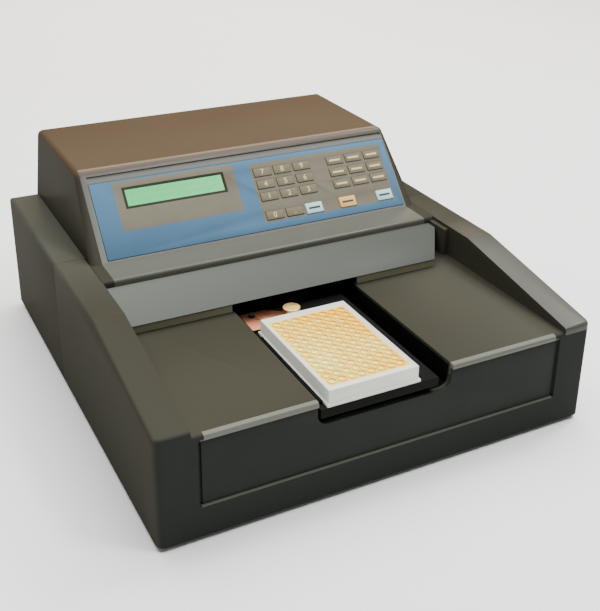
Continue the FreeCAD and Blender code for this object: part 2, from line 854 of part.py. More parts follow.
carrier_frame = cut("carrier_frame", fuse("carrier_parts", carrier_slab, left_lip, right_lip,
                                          rear_lip, pusher_pin), carrier_window)
node("plate_carrier", carrier_frame)

# Pusher: a copper arm on a pin, whose brass roller presses on the plate's rear edge
roller_x = size("plate_centre") - 6.0
roller_y = plate_rear + size("roller_radius") + 0.3
pusher_blank = profile(
    "pusher_blank",
    [(pin_x - 9.5, pin_y + 7.0), (pin_x - 9.5, plate_rear + 3.0), (pin_x + 14.0, plate_rear + 2.0),
     (roller_x - 7.0, roller_y - 4.0), (roller_x + 30.0, roller_y - 3.5),
     (roller_x + 30.0, roller_y + 4.0), (roller_x + 6.0, roller_y + 9.0),
     (pin_x + 16.0, pin_y + 7.0)],
    pusher_low, pusher_low + size("pusher_sheet"), "XY")
pusher_eye = rod("pusher_eye", size("pusher_pin_radius"), 20.0, pin_x, pin_y, pusher_low - 5.0)
roller_eye = prism("roller_eye", 8, 1.7, 20.0, roller_x, roller_y, pusher_low - 5.0)
node("plate_pusher", cut("pusher_arm", pusher_blank, pusher_eye, roller_eye))
roller_low = pusher_low + size("pusher_sheet") + 0.1
roller_body = rod("roller_body", size("roller_radius"), size("roller_height"),
                  roller_x, roller_y, roller_low)
roller_stud = prism("roller_stud", 8, 1.46, size("pusher_sheet") + 1.0, roller_x, roller_y,
                    pusher_low)
node("pusher_roller", fuse("pusher_roller_solid", roller_body, roller_stud))

# Carriage block: runs on the guide rod, carries the plate carrier on its stem and
# grips the belt between two jaws
rod_z = size("rod_height")
half_block = size("block_width") / 2
block_rear = block_front + size("block_length")
block_low = rod_z - size("block_height") / 2
block_high = rod_z + size("block_height") / 2
block_blank = box("block_blank", rod_x - half_block, rod_x + half_block, block_front,
                  block_rear, block_low, block_high)
stem = box("block_stem", stem_low, stem_high, block_front, block_rear, block_high - PAST,
           carrier_low)
belt_half = size("belt_width") / 2
pulley_x = size("pulley_place")
run_in = size("pulley_radius") + size("belt_play")
run_out = run_in + size("belt_sheet")
jaw_y = block_front + 10.0
jaw_end = block_rear - 10.0
jaw_web = box("jaw_web", rod_x + half_block, pulley_x - belt_half - gap, jaw_y, jaw_end,
              rod_z + 2.0, rod_z + run_out + 3.0)
jaw_low = box("jaw_low", rod_x + half_block, pulley_x + belt_half, jaw_y, jaw_end,
              rod_z + run_in - gap - 2.5, rod_z + run_in - gap)
jaw_high = box("jaw_high", rod_x + half_block, pulley_x + belt_half, jaw_y, jaw_end,
               rod_z + run_out + gap, rod_z + run_out + gap + 2.5)
block_bore = rod("block_bore", size("rod_radius") + size("rod_play"),
                 size("block_length") + 2 * PAST, rod_x, block_front - PAST, rod_z, ALONG_Y)
node("carriage_block", cut("block_solid", fuse("block_parts", block_blank, stem, jaw_web,
                                               jaw_low, jaw_high), block_bore))

# Guide rod and the brackets at its ends
rod_front = front + front_skin + 5.0
rod_rear = block_rear + size("carrier_travel") + 30.0
node("guide_rod", rod("guide_rod", size("rod_radius"), rod_rear - rod_front, rod_x,
                      rod_front, rod_z, ALONG_Y))
bracket_thickness = 7.0


def rod_bracket(name, y):
    plate = box(f"{name}_plate", rod_x - 13.0, rod_x + 11.0, y, y + bracket_thickness,
                tray_floor + gap, rod_z + 9.0)
    bracket_foot = box(f"{name}_foot", rod_x - 13.0, rod_x + 11.0, y,
                       y + bracket_thickness + 14.0, tray_floor + gap, tray_floor + gap + 4.0)
    bore = rod(f"{name}_bore", size("rod_radius") + 0.02, bracket_thickness + 40.0, rod_x,
               y - 20.0, rod_z, ALONG_Y)
    return cut(name, fuse(f"{name}_parts", plate, bracket_foot), bore)


front_bracket = rod_bracket("front_rod_bracket", rod_front + 1.0)
rear_bracket = rod_bracket("rear_rod_bracket", rod_rear - bracket_thickness - 1.0)

# Belt drive: a motor with a flanged pulley at the back, an idler at the front
drive_y = back - size("drive_pulley_depth")
idler_y = back - size("idler_pulley_depth")
flange_radius = size("pulley_radius") + 3.0
half_pulley = size("pulley_width") / 2
FLANGE = 1.2


def pulley(name, y):
    """A turned pulley: two thin flanges beside the belt's seat, bored for its shaft."""
    core = prism(f"{name}_core", 16, size("pulley_radius"), size("pulley_width"),
                 pulley_x - half_pulley, y, rod_z, ALONG_X)
    near_flange = prism(f"{name}_near", 16, flange_radius, FLANGE,
                        pulley_x - half_pulley - FLANGE, y, rod_z, ALONG_X)
    far_flange = prism(f"{name}_far", 16, flange_radius, FLANGE, pulley_x + half_pulley, y,
                       rod_z, ALONG_X)
    bore = rod(f"{name}_bore", size("shaft_radius") + 0.05, size("pulley_width") + 20.0,
               pulley_x - half_pulley - 10.0, y, rod_z, ALONG_X)
    return node(name, cut(f"{name}_solid", fuse(f"{name}_parts", core, near_flange, far_flange),
                          bore))


pulley("drive_pulley", drive_y)
pulley("idler_pulley", idler_y)


def belt_loop(name, radius, spill):
    """Everything inside a belt run of this radius round both pulleys."""
    low = pulley_x - belt_half - spill
    high = pulley_x + belt_half + spill
    return fuse(
        name,
        box(f"{name}_run", low, high, idler_y, drive_y, rod_z - radius, rod_z + radius),
        rod(f"{name}_drive", radius, high - low, low, drive_y, rod_z, ALONG_X),
        rod(f"{name}_idler", radius, high - low, low, idler_y, rod_z, ALONG_X))


node("drive_belt", cut("belt_band", belt_loop("belt_outside", run_out, 0.0),
                       belt_loop("belt_inside", run_in, PAST)))

motor_face = pulley_x + half_pulley + FLANGE + 4.0
motor_half = size("motor_side") / 2
motor_case = box("motor_case", motor_face, motor_face + size("motor_length"),
                 drive_y - motor_half, drive_y + motor_half, rod_z - motor_half,
                 rod_z + motor_half)


def motor_edge(edge):
    a, b = ends(edge)[0], ends(edge)[-1]
    return near(a.y, b.y) and near(a.z, b.z) and abs(a.x - b.x) > 10


motor_round = round_edges("motor_round", motor_case, 4.0, motor_edge)
motor_shaft = rod("motor_shaft", size("shaft_radius"), motor_face - pulley_x + half_pulley + 2.0,
                  pulley_x - half_pulley - 1.0, drive_y, rod_z, ALONG_X)
node("drive_motor", fuse("drive_motor_solid", motor_round, motor_shaft))
plate_low_x = motor_face - 2.5 - gap
motor_plate = box("motor_plate", plate_low_x, motor_face - gap, drive_y - motor_half - 3.0,
                  drive_y + motor_half + 3.0, tray_floor + gap, rod_z + motor_half)
motor_foot = box("motor_foot", plate_low_x, plate_low_x + 20.0, drive_y - motor_half - 3.0,
                 drive_y + motor_half + 3.0, tray_floor + gap, tray_floor + gap + 2.5)
motor_hole = prism("motor_hole", 12, 11.0, 40.0, motor_face - 20.0, drive_y, rod_z, ALONG_X)
motor_bracket = cut("motor_bracket", fuse("motor_bracket_parts", motor_plate, motor_foot),
                    motor_hole)
idler_x = pulley_x + half_pulley + FLANGE + 0.3
idler_plate = box("idler_plate", idler_x, idler_x + 3.0, idler_y - 9.0, idler_y + 9.0,
                  tray_floor + gap, rod_z + 9.0)
idler_foot = box("idler_foot", idler_x, idler_x + 18.0, idler_y - 9.0, idler_y + 9.0,
                 tray_floor + gap, tray_floor + gap + 3.0)
idler_shaft = rod("idler_shaft", size("shaft_radius"), idler_x - pulley_x + half_pulley + 2.0,
                  pulley_x - half_pulley - 1.0, idler_y, rod_z, ALONG_X)
idler_bracket = fuse("idler_bracket", idler_plate, idler_foot, idler_shaft)
node("drive_brackets", group("bracket_set", front_bracket, rear_bracket, motor_bracket,
                             idler_bracket))

# Optics bridge: a folded sheet over the tunnel that carries the lamp and filters
bridge_low = size("bridge_height")
bridge_high = bridge_low + size("bridge_sheet")
bridge_front = read_y - 14.0
bridge_rear = back - size("rear_panel_inset") - size("rear_panel_sheet") - 6.0
bridge_left = -size("bridge_left")
bridge_right = size("bridge_right")
bridge_plate = box("bridge_plate", bridge_left, bridge_right, bridge_front, bridge_rear,
                   bridge_low, bridge_high)
left_leg_x = -size("bridge_leg_left")
bridge_legs = [
    box("bridge_left_leg", left_leg_x, left_leg_x + size("bridge_sheet"), bridge_front,
        bridge_rear, tray_floor + gap, bridge_low + PAST),
    box("bridge_right_leg", bridge_right - size("bridge_sheet"), bridge_right, bridge_front,
        bridge_rear, tray_floor + gap, bridge_low + PAST)]
bridge_feet = [
    box("bridge_left_foot", left_leg_x, left_leg_x + 14.0, bridge_front, bridge_rear,
        tray_floor + gap, tray_floor + gap + 2.0),
    box("bridge_right_foot", bridge_right - 14.0, bridge_right, bridge_front, bridge_rear,
        tray_floor + gap, tray_floor + gap + 2.0)]
light_slot = box("light_slot", size("plate_centre") - 36.0, size("plate_centre") + 36.0,
                 read_y - 4.0, read_y + 4.0, bridge_low - PAST, bridge_high + PAST)
wheel_x = size("wheel_place")
wheel_z = head_top - size("wheel_drop")
wheel_y = back - size("wheel_depth")
upright_y = wheel_y + size("wheel_thickness") + 3.0
filter_upright = box("filter_upright", wheel_x - 24.0, wheel_x + 24.0, upright_y,
                     upright_y + 3.0, bridge_high - PAST, wheel_z + 20.0)
upright_hole = prism("upright_hole", 12, 6.0, 20.0, wheel_x, upright_y - 8.0, wheel_z, ALONG_Y)
beam_z = wheel_z - size("filter_circle")
beam_hole = prism("beam_hole", 12, size("beam_radius"), 20.0, wheel_x, upright_y - 8.0, beam_z,
                ALONG_Y)
node("optics_bridge", cut("optics_bridge_solid",
                          fuse("bridge_parts", bridge_plate, *bridge_legs, *bridge_feet,
                               filter_upright), light_slot, upright_hole, beam_hole))

# Filter wheel with six interference filters, turned by its own small motor
wheel_disc = prism("wheel_disc", 28, size("wheel_radius"), size("wheel_thickness"), wheel_x,
                   wheel_y, wheel_z, ALONG_Y)
wheel_bore = rod("wheel_bore", size("shaft_radius") + 0.05, 30.0, wheel_x, wheel_y - 10.0,
                 wheel_z, ALONG_Y)


def filter_ring(name, radius, low, high):
    """Six equal discs round the wheel, the first one in the beam."""
    discs = []
    for index in range(6):
        angle = math.radians(60 * index - 90)
        discs.append(prism(f"{name}_{index}", 10, radius, high - low,
                           wheel_x + size("filter_circle") * math.cos(angle), wheel_y + low,
                           wheel_z + size("filter_circle") * math.sin(angle), ALONG_Y))
    return discs


node("filter_wheel", cut("wheel_cut", wheel_disc, wheel_bore,
                         *filter_ring("wheel_hole", size("filter_radius"), -PAST,
                                      size("wheel_thickness") + PAST)))
node("optical_filters", group("filter_set", *filter_ring(
    "filter", size("filter_radius") - 0.1, 0.8, size("wheel_thickness") - 0.8)))
filter_motor_y = upright_y + 3.0 + gap
filter_motor_case = prism("filter_motor_case", 24, 17.0, 24.0, wheel_x, filter_motor_y,
                          wheel_z, ALONG_Y)
filter_motor_shaft = prism("filter_motor_shaft", 12, size("shaft_radius"),
                           filter_motor_y - wheel_y + 2.0, wheel_x, wheel_y - 1.0, wheel_z,
                           ALONG_Y)
node("filter_motor", fuse("filter_motor_solid", filter_motor_case, filter_motor_shaft))

# Lamp housing: a finned box behind the wheel, open towards the filter in the beam
lamp_y = filter_motor_y + 30.0
lamp_rear = bridge_rear - 2.0
lamp_box = box("lamp_box", wheel_x - 26.0, wheel_x + 26.0, lamp_y, lamp_rear,
               bridge_high + gap, wheel_z + 14.0)
lamp_room = box("lamp_room", wheel_x - 22.0, wheel_x + 22.0, lamp_y + 4.0, lamp_rear - 4.0,
                bridge_high + gap + 4.0, wheel_z + 10.0)
lamp_port = prism("lamp_port", 12, size("beam_radius"), 30.0, wheel_x, lamp_y - 10.0, beam_z, ALONG_Y)
lamp_fins = [
    box(f"lamp_fin_{index}", wheel_x - 22.0 + 10.5 * index, wheel_x - 20.0 + 10.5 * index,
        lamp_y + 2.0, lamp_rear - 2.0, wheel_z + 13.0, wheel_z + 20.0)
    for index in range(5)]
node("lamp_housing", cut("lamp_housing_solid", fuse("lamp_parts", lamp_box, *lamp_fins),
                         lamp_room, lamp_port))

# Beam tube: carries the filtered light forward, then across to the lens block
tube_radius = size("beam_radius") + 1.0
lens_low = bridge_high + gap
lens_left = size("plate_centre") - 36.0


def tube_form(name, radius, extra):
    """The tube's two legs at one radius: forward from the wheel, then across."""
    return fuse(
        name,
        prism(f"{name}_forward", 12, radius, wheel_y - read_y - 1.0 + extra, wheel_x, read_y,
              beam_z, ALONG_Y),
        prism(f"{name}_across", 12, radius, lens_left - wheel_x - 0.3 + extra, wheel_x, read_y,
              beam_z, ALONG_X))


tube_elbow = box("tube_elbow", wheel_x - 9.0, wheel_x + 9.0, read_y - 9.0, read_y + 9.0,
                 bridge_high + gap, beam_z + 9.0)
node("beam_tube", cut("beam_tube_solid",
                      fuse("tube_parts", tube_form("tube_out", tube_radius, 0.0), tube_elbow),
                      tube_form("tube_in", size("beam_radius") - 1.0, PAST)))

# Lens block: spreads the light over eight channels and down through the slot
lens_box = box("lens_box", lens_left, size("plate_centre") + 40.0, read_y - 9.0, read_y + 9.0,
               lens_low, beam_z + 8.0)
lens_bores = [
    prism(f"lens_bore_{index}", 8, 2.0, 12.0, first_x + size("well_pitch") * float(index),
          read_y, lens_low - 2.0)
    for index in range(8)]
node("lens_block", cut("lens_block_cut", lens_box, *lens_bores))

# Detector board: eight photocells look up through the liner's window
cell_top = liner_floor - liner - 1.0
detector_low = cell_top - 6.0
detector_sheet = box("detector_sheet", size("plate_centre") - 44.0, size("plate_centre") + 44.0,
                     read_y - 12.0, read_y + 12.0, detector_low, detector_low + 1.6)
detector_posts = [
    prism(f"detector_post_{index}", 8, 3.0, detector_low - tray_floor - gap + 0.5,
          size("plate_centre") + side * 39.0, read_y, tray_floor + gap)
    for index, side in enumerate((-1.0, 1.0))]
cells = [
    prism(f"photocell_{index}", 8, 2.4, cell_top - detector_low - 0.5,
          first_x + size("well_pitch") * float(index), read_y, detector_low + 0.5)
    for index in range(8)]
node("detector_board", fuse("detector_board_form", detector_sheet, *detector_posts, *cells))

# Base tray: a folded steel pan with a stiffening rim, under everything else
edge_gap = wall + 0.5
tray_front = front + front_skin + 0.5
tray_rear = back - size("rear_panel_inset")
tray_plate = box("tray_plate", -(half_width - edge_gap), half_width - edge_gap, tray_front,
                 tray_rear, case_bottom, tray_floor)
rim_inset = 16.0
rim_outer = box("rim_outer", -(half_width - rim_inset), half_width - rim_inset,
                tray_front + 1.0, tray_rear - 5.0, tray_floor - 0.5,
                tray_floor + size("tray_rim"))
rim_inner = box("rim_inner", -(half_width - rim_inset - 1.5), half_width - rim_inset - 1.5,
                tray_front + 2.5, tray_rear - 6.5, tray_floor - PAST,
                tray_floor + size("tray_rim") + PAST)
rim = cut("tray_rim_wall", rim_outer, rim_inner)
screw_spots = [(boss_x * side, y) for side in (-1, 1)
               for rows in BOSS_ROWS.values() for y in rows]
screw_holes = [
    prism(f"tray_hole_{index}", 8, size("screw_radius") + 0.3, 8.0, x, y, case_bottom - 3.0)
    for index, (x, y) in enumerate(screw_spots)]
vent_slots = [
    box(f"tray_vent_{index}", -(half_width - 40.0) + size("vent_pitch") * index,
        -(half_width - 44.0) + size("vent_pitch") * index,
        back - 60.0 - size("vent_length"), back - 60.0, case_bottom - PAST, tray_floor + PAST)
    for index in range(7)]
node("base_tray", cut("base_tray_solid", fuse("tray_parts", tray_plate, rim), *screw_holes,
                      *vent_slots))

# Cover screws, one group of eight, from below into the bosses
head_deep = size("screw_head_height")
screws = [
    fuse(f"screw_{index}",
         prism(f"screw_head_{index}", 10, size("screw_head_radius"), head_deep, x, y,
               case_bottom - head_deep),
         prism(f"screw_shank_{index}", 8, size("screw_radius"), size("screw_length"), x, y,
               case_bottom - head_deep / 2))
    for index, (x, y) in enumerate(screw_spots)]
node("cover_screws", group("screw_set", *screws))

# Rubber feet, pressed against the tray's underside
foot_x = half_width - size("foot_inset")


def rubber_foot(name, x, y):
    return prism(name, 20, size("foot_radius"), size("foot_height"), x, y, 0.0)


feet = [
    rubber_foot(f"foot_{row}_{side}", x, y)
    for side, x in (("left", -foot_x), ("right", foot_x))
    for row, y in (("front", front + size("foot_inset")), ("rear", back - size("foot_inset")))]
node("rubber_feet", group("foot_set", *feet))

# Rear panel: a steel sheet with the power inlet, switch and two data sockets
panel_front_y = back - size("rear_panel_inset")
panel_back_y = panel_front_y + size("rear_panel_sheet")
panel_half = half_width - wall - 0.5
eave = plateau - wall - 0.5
head_foot = wing_inner - wall - 0.5
head_tip = wing_inner - wall - size("head_draft") - 0.5
rear_outline = [
    (-panel_half, case_bottom), (panel_half, case_bottom), (panel_half, eave),
    (head_foot, eave), (head_tip, head_top - wall - 0.5), (-head_tip, head_top - wall - 0.5),
    (-head_foot, eave), (-panel_half, eave)]
rear_sheet = profile("rear_sheet", rear_outline, panel_front_y, panel_back_y, "XZ")
inlet_x = -(half_width - 50.0)
switch_x = -(half_width - 86.0)
socket_z = 42.0
port_x = (half_width - 118.0, half_width - 56.0)
inlet_hole = box("inlet_hole", inlet_x - size("inlet_width") / 2, inlet_x + size("inlet_width") / 2,
                 panel_front_y - PAST, panel_back_y + PAST, socket_z - size("inlet_height") / 2,
                 socket_z + size("inlet_height") / 2)
switch_hole = box("switch_hole", switch_x - size("switch_width") / 2,
                  switch_x + size("switch_width") / 2, panel_front_y - PAST,
                  panel_back_y + PAST, socket_z - size("switch_height") / 2 - 4.0,
                  socket_z + size("switch_height") / 2 + 4.0)
port_holes = [
    box(f"port_hole_{index}", x - size("port_width") / 2 + 7.0, x + size("port_width") / 2 - 7.0,
        panel_front_y - PAST, panel_back_y + PAST, socket_z - size("port_height") / 2 + 1.0,
        socket_z + size("port_height") / 2 - 1.0)
    for index, x in enumerate(port_x)]
rear_vents = [
    box(f"rear_vent_{index}", -60.0 + 9.0 * index, -56.0 + 9.0 * index, panel_front_y - PAST,
        panel_back_y + PAST, head_top - 60.0, head_top - 25.0)
    for index in range(14)]
node("rear_panel", cut("rear_panel_solid", rear_sheet, inlet_hole, switch_hole, *port_holes,
                       *rear_vents))

# Power inlet: an appliance socket with three blades
inlet_flange = box("inlet_flange", inlet_x - size("inlet_width") / 2 - 3.0,
                   inlet_x + size("inlet_width") / 2 + 3.0, panel_back_y + gap,
                   panel_back_y + gap + 2.0, socket_z - size("inlet_height") / 2 - 2.0,
                   socket_z + size("inlet_height") / 2 + 2.0)
inlet_body = box("inlet_body", inlet_x - size("inlet_width") / 2 + gap,
                 inlet_x + size("inlet_width") / 2 - gap, panel_front_y - 18.0,
                 panel_back_y + gap + PAST, socket_z - size("inlet_height") / 2 + gap,
                 socket_z + size("inlet_height") / 2 - gap)
inlet_room = box("inlet_room", inlet_x - size("inlet_width") / 2 + 2.0,
                 inlet_x + size("inlet_width") / 2 - 2.0, panel_front_y - 14.0, back + PAST,
                 socket_z - size("inlet_height") / 2 + 2.0,
                 socket_z + size("inlet_height") / 2 - 2.0)
blades = [
    box(f"inlet_blade_{index}", inlet_x + dx - 1.0, inlet_x + dx + 1.0, panel_front_y - 16.0,
        panel_front_y - 1.0, socket_z + dz - 2.5, socket_z + dz + 2.5)
    for index, (dx, dz) in enumerate(((-7.0, -1.5), (0.0, 2.5), (7.0, -1.5)))]
node("power_inlet", fuse("power_inlet_solid",
                         cut("inlet_cup", fuse("inlet_parts", inlet_flange, inlet_body),
                             inlet_room), *blades))

# Power switch: a frame in the panel and the rocker that tips in it
frame_half_x = size("switch_width") / 2
frame_half_z = size("switch_height") / 2 + 4.0
switch_frame = box("switch_frame", switch_x - frame_half_x - 1.5, switch_x + frame_half_x + 1.5,
                   panel_back_y + gap, panel_back_y + gap + 1.5, socket_z - frame_half_z - 1.5,
                   socket_z + frame_half_z + 1.5)
switch_can = box("switch_can", switch_x - frame_half_x + gap, switch_x + frame_half_x - gap,
                 panel_front_y - 14.0, panel_back_y + gap + PAST, socket_z - frame_half_z + gap,
                 socket_z + frame_half_z - gap)
switch_room = box("switch_room", switch_x - frame_half_x + 2.0, switch_x + frame_half_x - 2.0,
                  panel_front_y - 10.0, back + PAST, socket_z - frame_half_z + 2.0,
                  socket_z + frame_half_z - 2.0)
rocker_half = frame_half_z - 3.4
rocker_pivot_y = panel_back_y - 1.0
pivot_radius = size("pivot_radius")
pivot_half = frame_half_x - 0.8
pivot_hole = rod("pivot_hole", pivot_radius + 0.1, pivot_half * 2 + 0.4,
                 switch_x - pivot_half - 0.2, rocker_pivot_y, socket_z, ALONG_X)
node("switch_housing", cut("switch_housing_solid", fuse("switch_parts", switch_frame, switch_can),
                           switch_room, pivot_hole))
rocker_outline = [
    (rocker_pivot_y + 3.6, socket_z - rocker_half),
    (rocker_pivot_y + 2.4, socket_z),
    (rocker_pivot_y + 3.6, socket_z + rocker_half),
    (rocker_pivot_y - 1.6, socket_z + rocker_half),
    (rocker_pivot_y - 3.6, socket_z),
    (rocker_pivot_y - 1.6, socket_z - rocker_half),
]
rocker_form = profile("rocker_form", rocker_outline, switch_x - frame_half_x + 2.4,
                      switch_x + frame_half_x - 2.4, "YZ")
rocker_pivot = rod("rocker_pivot", pivot_radius, pivot_half * 2, switch_x - pivot_half,
                   rocker_pivot_y, socket_z, ALONG_X)
node("power_rocker", fuse("power_rocker_solid", rocker_form, rocker_pivot))

# Data sockets: two D-shaped connectors on the rear panel
def data_socket(name, x):
    """A D-shaped shell on its flange, with its body behind the panel."""
    half = size("port_width") / 2
    shell_half = half - 8.5
    face_y = panel_back_y + gap
    flange = box(f"{name}_flange", x - half, x + half, face_y, face_y + 1.2,
                 socket_z - size("port_height") / 2, socket_z + size("port_height") / 2)
    shell_points = [(x - shell_half, socket_z - 4.0), (x + shell_half, socket_z - 4.0),
                    (x + shell_half + 1.2, socket_z + 4.0),
                    (x - shell_half - 1.2, socket_z + 4.0)]
    socket_shell = profile(f"{name}_shell", shell_points, face_y, face_y + 4.4, "XZ")
    socket_body = box(f"{name}_body", x - shell_half + 1.0, x + shell_half - 1.0,
                      face_y - 13.5, face_y + 0.5, socket_z - 4.0, socket_z + 4.0)
    return fuse(name, flange, socket_shell, socket_body)


node("data_sockets", group("socket_pair", *[
    data_socket(f"data_socket_{index}", x) for index, x in enumerate(port_x)]))

# Main board: under the right of the deck, on posts, with its larger components
board_left = size("bridge_right") + 4.0 - 44.0
board_right = half_width - rim_inset - 6.0
board_front = front + 46.0
board_rear = board_front + size("board_length")
board_low = tray_floor + size("standoff_height")
board_high = board_low + size("board_sheet")
board_plate = box("board_plate", board_left + 20.0, board_right, board_front, board_rear,
                  board_low, board_high)
posts = [
    prism(f"board_post_{index}", 8, 3.0, size("standoff_height") - gap + 0.3, x, y,
          tray_floor + gap)
    for index, (x, y) in enumerate((
        (board_left + 26.0, board_front + 8.0), (board_right - 6.0, board_front + 8.0),
        (board_left + 26.0, board_rear - 8.0), (board_right - 6.0, board_rear - 8.0)))]
chips = [
    box(f"board_chip_{index}", board_left + dx, board_left + dx + across, board_front + dy,
        board_front + dy + along, board_high - 0.3, board_high + rise)
    for index, (dx, dy, across, along, rise) in enumerate((
        (34.0, 20.0, 15.0, 52.0, 5.0), (60.0, 20.0, 15.0, 36.0, 5.0),
        (34.0, 90.0, 30.0, 30.0, 4.0), (70.0, 112.0, 22.0, 12.0, 9.0)))]
node("main_board", fuse("main_board_solid", board_plate, *posts, *chips))

# Power supply: a vented steel box on the tray at the left
supply_left = -(half_width - rim_inset - 8.0)
supply_right = left_leg_x - 8.0
supply_rear = back - size("supply_setback")
supply_front = supply_rear - size("supply_length")
supply_top = tray_floor + size("supply_height")
supply_sheet = size("supply_sheet")
supply_step = (supply_right - supply_left) / 7.6
supply_box = box("supply_box", supply_left, supply_right, supply_front, supply_rear,
                 tray_floor + gap, supply_top)
supply_room = box("supply_room", supply_left + supply_sheet, supply_right - supply_sheet,
                  supply_front + supply_sheet, supply_rear - supply_sheet,
                  tray_floor + gap + supply_sheet, supply_top - supply_sheet)
supply_slots = [
    box(f"supply_slot_{index}", supply_left + supply_step * (0.5 + index),
        supply_left + supply_step * (0.9 + index), supply_front + 20.0, supply_rear - 20.0,
        supply_top - supply_sheet * 3, supply_top + PAST)
    for index in range(7)]
node("power_supply", cut("power_supply_solid", supply_box, supply_room, *supply_slots))

doc.recompute()
for item in doc.Objects:
    bad = [state for state in item.State if state in ("Invalid", "Error")]
    if bad:
        raise RuntimeError(f"{item.Name} ({item.Label}) failed: {bad}")
for item in NODES:
    shape = item.Shape
    if shape.isNull() or not shape.isValid() or not shape.Solids:
        raise RuntimeError(f"{item.Label} has no valid solid")
for item in NODES:
    item.Shape.exportStep(f"parts/{item.Label}.step")
print(len(NODES), "pieces")
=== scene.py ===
"""A bench microplate reader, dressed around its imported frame. Metres, +Z up."""
import json
import math

import bpy
from mathutils import Matrix, Vector

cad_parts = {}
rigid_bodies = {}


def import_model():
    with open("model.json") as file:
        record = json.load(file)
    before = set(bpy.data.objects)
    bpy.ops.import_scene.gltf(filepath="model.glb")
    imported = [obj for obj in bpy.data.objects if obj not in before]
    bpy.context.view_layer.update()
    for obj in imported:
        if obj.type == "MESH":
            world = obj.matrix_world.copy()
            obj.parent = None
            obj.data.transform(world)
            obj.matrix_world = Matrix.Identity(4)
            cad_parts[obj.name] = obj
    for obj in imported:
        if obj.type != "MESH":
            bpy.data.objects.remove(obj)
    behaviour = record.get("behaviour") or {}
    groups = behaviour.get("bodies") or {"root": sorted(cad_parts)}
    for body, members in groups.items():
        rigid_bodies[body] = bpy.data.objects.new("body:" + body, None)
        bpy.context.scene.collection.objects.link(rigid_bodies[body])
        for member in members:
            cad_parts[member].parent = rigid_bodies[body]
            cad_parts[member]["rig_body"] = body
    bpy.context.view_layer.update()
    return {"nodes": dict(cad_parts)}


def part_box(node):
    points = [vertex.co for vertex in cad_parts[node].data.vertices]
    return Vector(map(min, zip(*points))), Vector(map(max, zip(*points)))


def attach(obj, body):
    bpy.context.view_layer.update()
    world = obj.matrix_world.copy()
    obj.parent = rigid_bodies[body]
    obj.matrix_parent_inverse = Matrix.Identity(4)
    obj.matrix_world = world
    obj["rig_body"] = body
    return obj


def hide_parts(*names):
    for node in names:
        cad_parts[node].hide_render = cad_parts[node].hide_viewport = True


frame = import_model()
nodes = frame["nodes"]
bpy.ops.object.select_all(action="DESELECT")


# Camera: the photograph's view, from the front left and a little above, solved from
# the plate's footprint and the case's corners.
CAMERA_SPOT = Vector((-0.3798, -0.7901, 0.5246))
CAMERA_TURN = math.radians(-28.01)
CAMERA_DIP = math.radians(23.51)
CAMERA_ROLL = math.radians(0.97)
CAMERA_LENS = 59.14
CAMERA_SHIFT = (-0.0196, -0.1318)

forward = Vector((-math.sin(CAMERA_TURN) * math.cos(CAMERA_DIP),
                  math.cos(CAMERA_TURN) * math.cos(CAMERA_DIP), -math.sin(CAMERA_DIP)))
level = forward.cross(Vector((0, 0, 1))).normalized()
upright = level.cross(forward)
across = level * math.cos(CAMERA_ROLL) + upright * math.sin(CAMERA_ROLL)
up = upright * math.cos(CAMERA_ROLL) - level * math.sin(CAMERA_ROLL)
bpy.ops.object.camera_add()
camera = bpy.context.object
camera.matrix_world = Matrix.Translation(CAMERA_SPOT) @ Matrix(
    (across, up, -forward)).transposed().to_4x4()
camera.data.lens = CAMERA_LENS
camera.data.sensor_width = 36.0
camera.data.sensor_fit = "AUTO"
camera.data.shift_x, camera.data.shift_y = CAMERA_SHIFT
camera.data.clip_start = 0.05
bpy.context.scene.camera = camera


# Floor and light: a white paper floor under a wide soft lamp overhead, with a warm
# lamp low behind the reader, one high at its right and a weak one in front.
class Shade:
    """One socket of a finish's nodes, with the sums that the finishes use."""

    def __init__(self, tree, socket=None):
        self.tree = tree
        self.socket = socket

    def node(self, kind, settings=None, sockets=None, out=0):
        """Add a node: its settings first, then the value or link of each socket."""
        made = self.tree.nodes.new(kind)
        for name, value in (settings or {}).items():
            setattr(made, name, value)
        for name, value in (sockets or {}).items():
            if isinstance(value, Shade):
                self.tree.links.new(value.socket, made.inputs[name])
            else:
                made.inputs[name].default_value = value
        return Shade(self.tree, made.outputs[out])

    def _math(self, operation, first, second=0.0):
        return self.node("ShaderNodeMath", {"operation": operation}, {0: first, 1: second})

    def __add__(self, other):
        return self._math("ADD", self, other)

    def __radd__(self, other):
        return self._math("ADD", other, self)

    def __sub__(self, other):
        return self._math("SUBTRACT", self, other)

    def __rsub__(self, other):
        return self._math("SUBTRACT", other, self)

    def __mul__(self, other):
        return self._math("MULTIPLY", self, other)

    def __truediv__(self, other):
        return self._math("DIVIDE", self, other)

    def __mod__(self, other):
        return self._math("FLOORED_MODULO", self, other)

    def __lt__(self, other):
        return self._math("LESS_THAN", self, other)

    def __gt__(self, other):
        return self._math("GREATER_THAN", self, other)

    def __abs__(self):
        return self._math("ABSOLUTE", self)

    def clamped(self):
        """This value, held between nought and one."""
        return self.node("ShaderNodeClamp", None, {0: self})

    def ramp(self, start, end):
        """Nought up to start, one from end on, and even in between."""
        return ((self - start) / (end - start)).clamped()

    def between(self, low, high):
        """One where this value lies between low and high, and nought elsewhere."""
        return (self > low) * (self < high)

    def mix(self, low, high):
        """A colour between low and high, by this value."""
        return self.node("ShaderNodeMix", {"data_type": "RGBA"}, {0: self, 6: low, 7: high}, 2)

    def noise(self, scale, detail=3.0, roughness=0.5):
        """Noise read at this place."""
        return self.node("ShaderNodeTexNoise", None, {
            "Vector": self, "Scale": scale, "Detail": detail, "Roughness": roughness})

    def part(self, index):
        """One component of this vector."""
        return self.node("ShaderNodeSeparateXYZ", None, {0: self}, index)


SRGB_KNEE = 0.04045


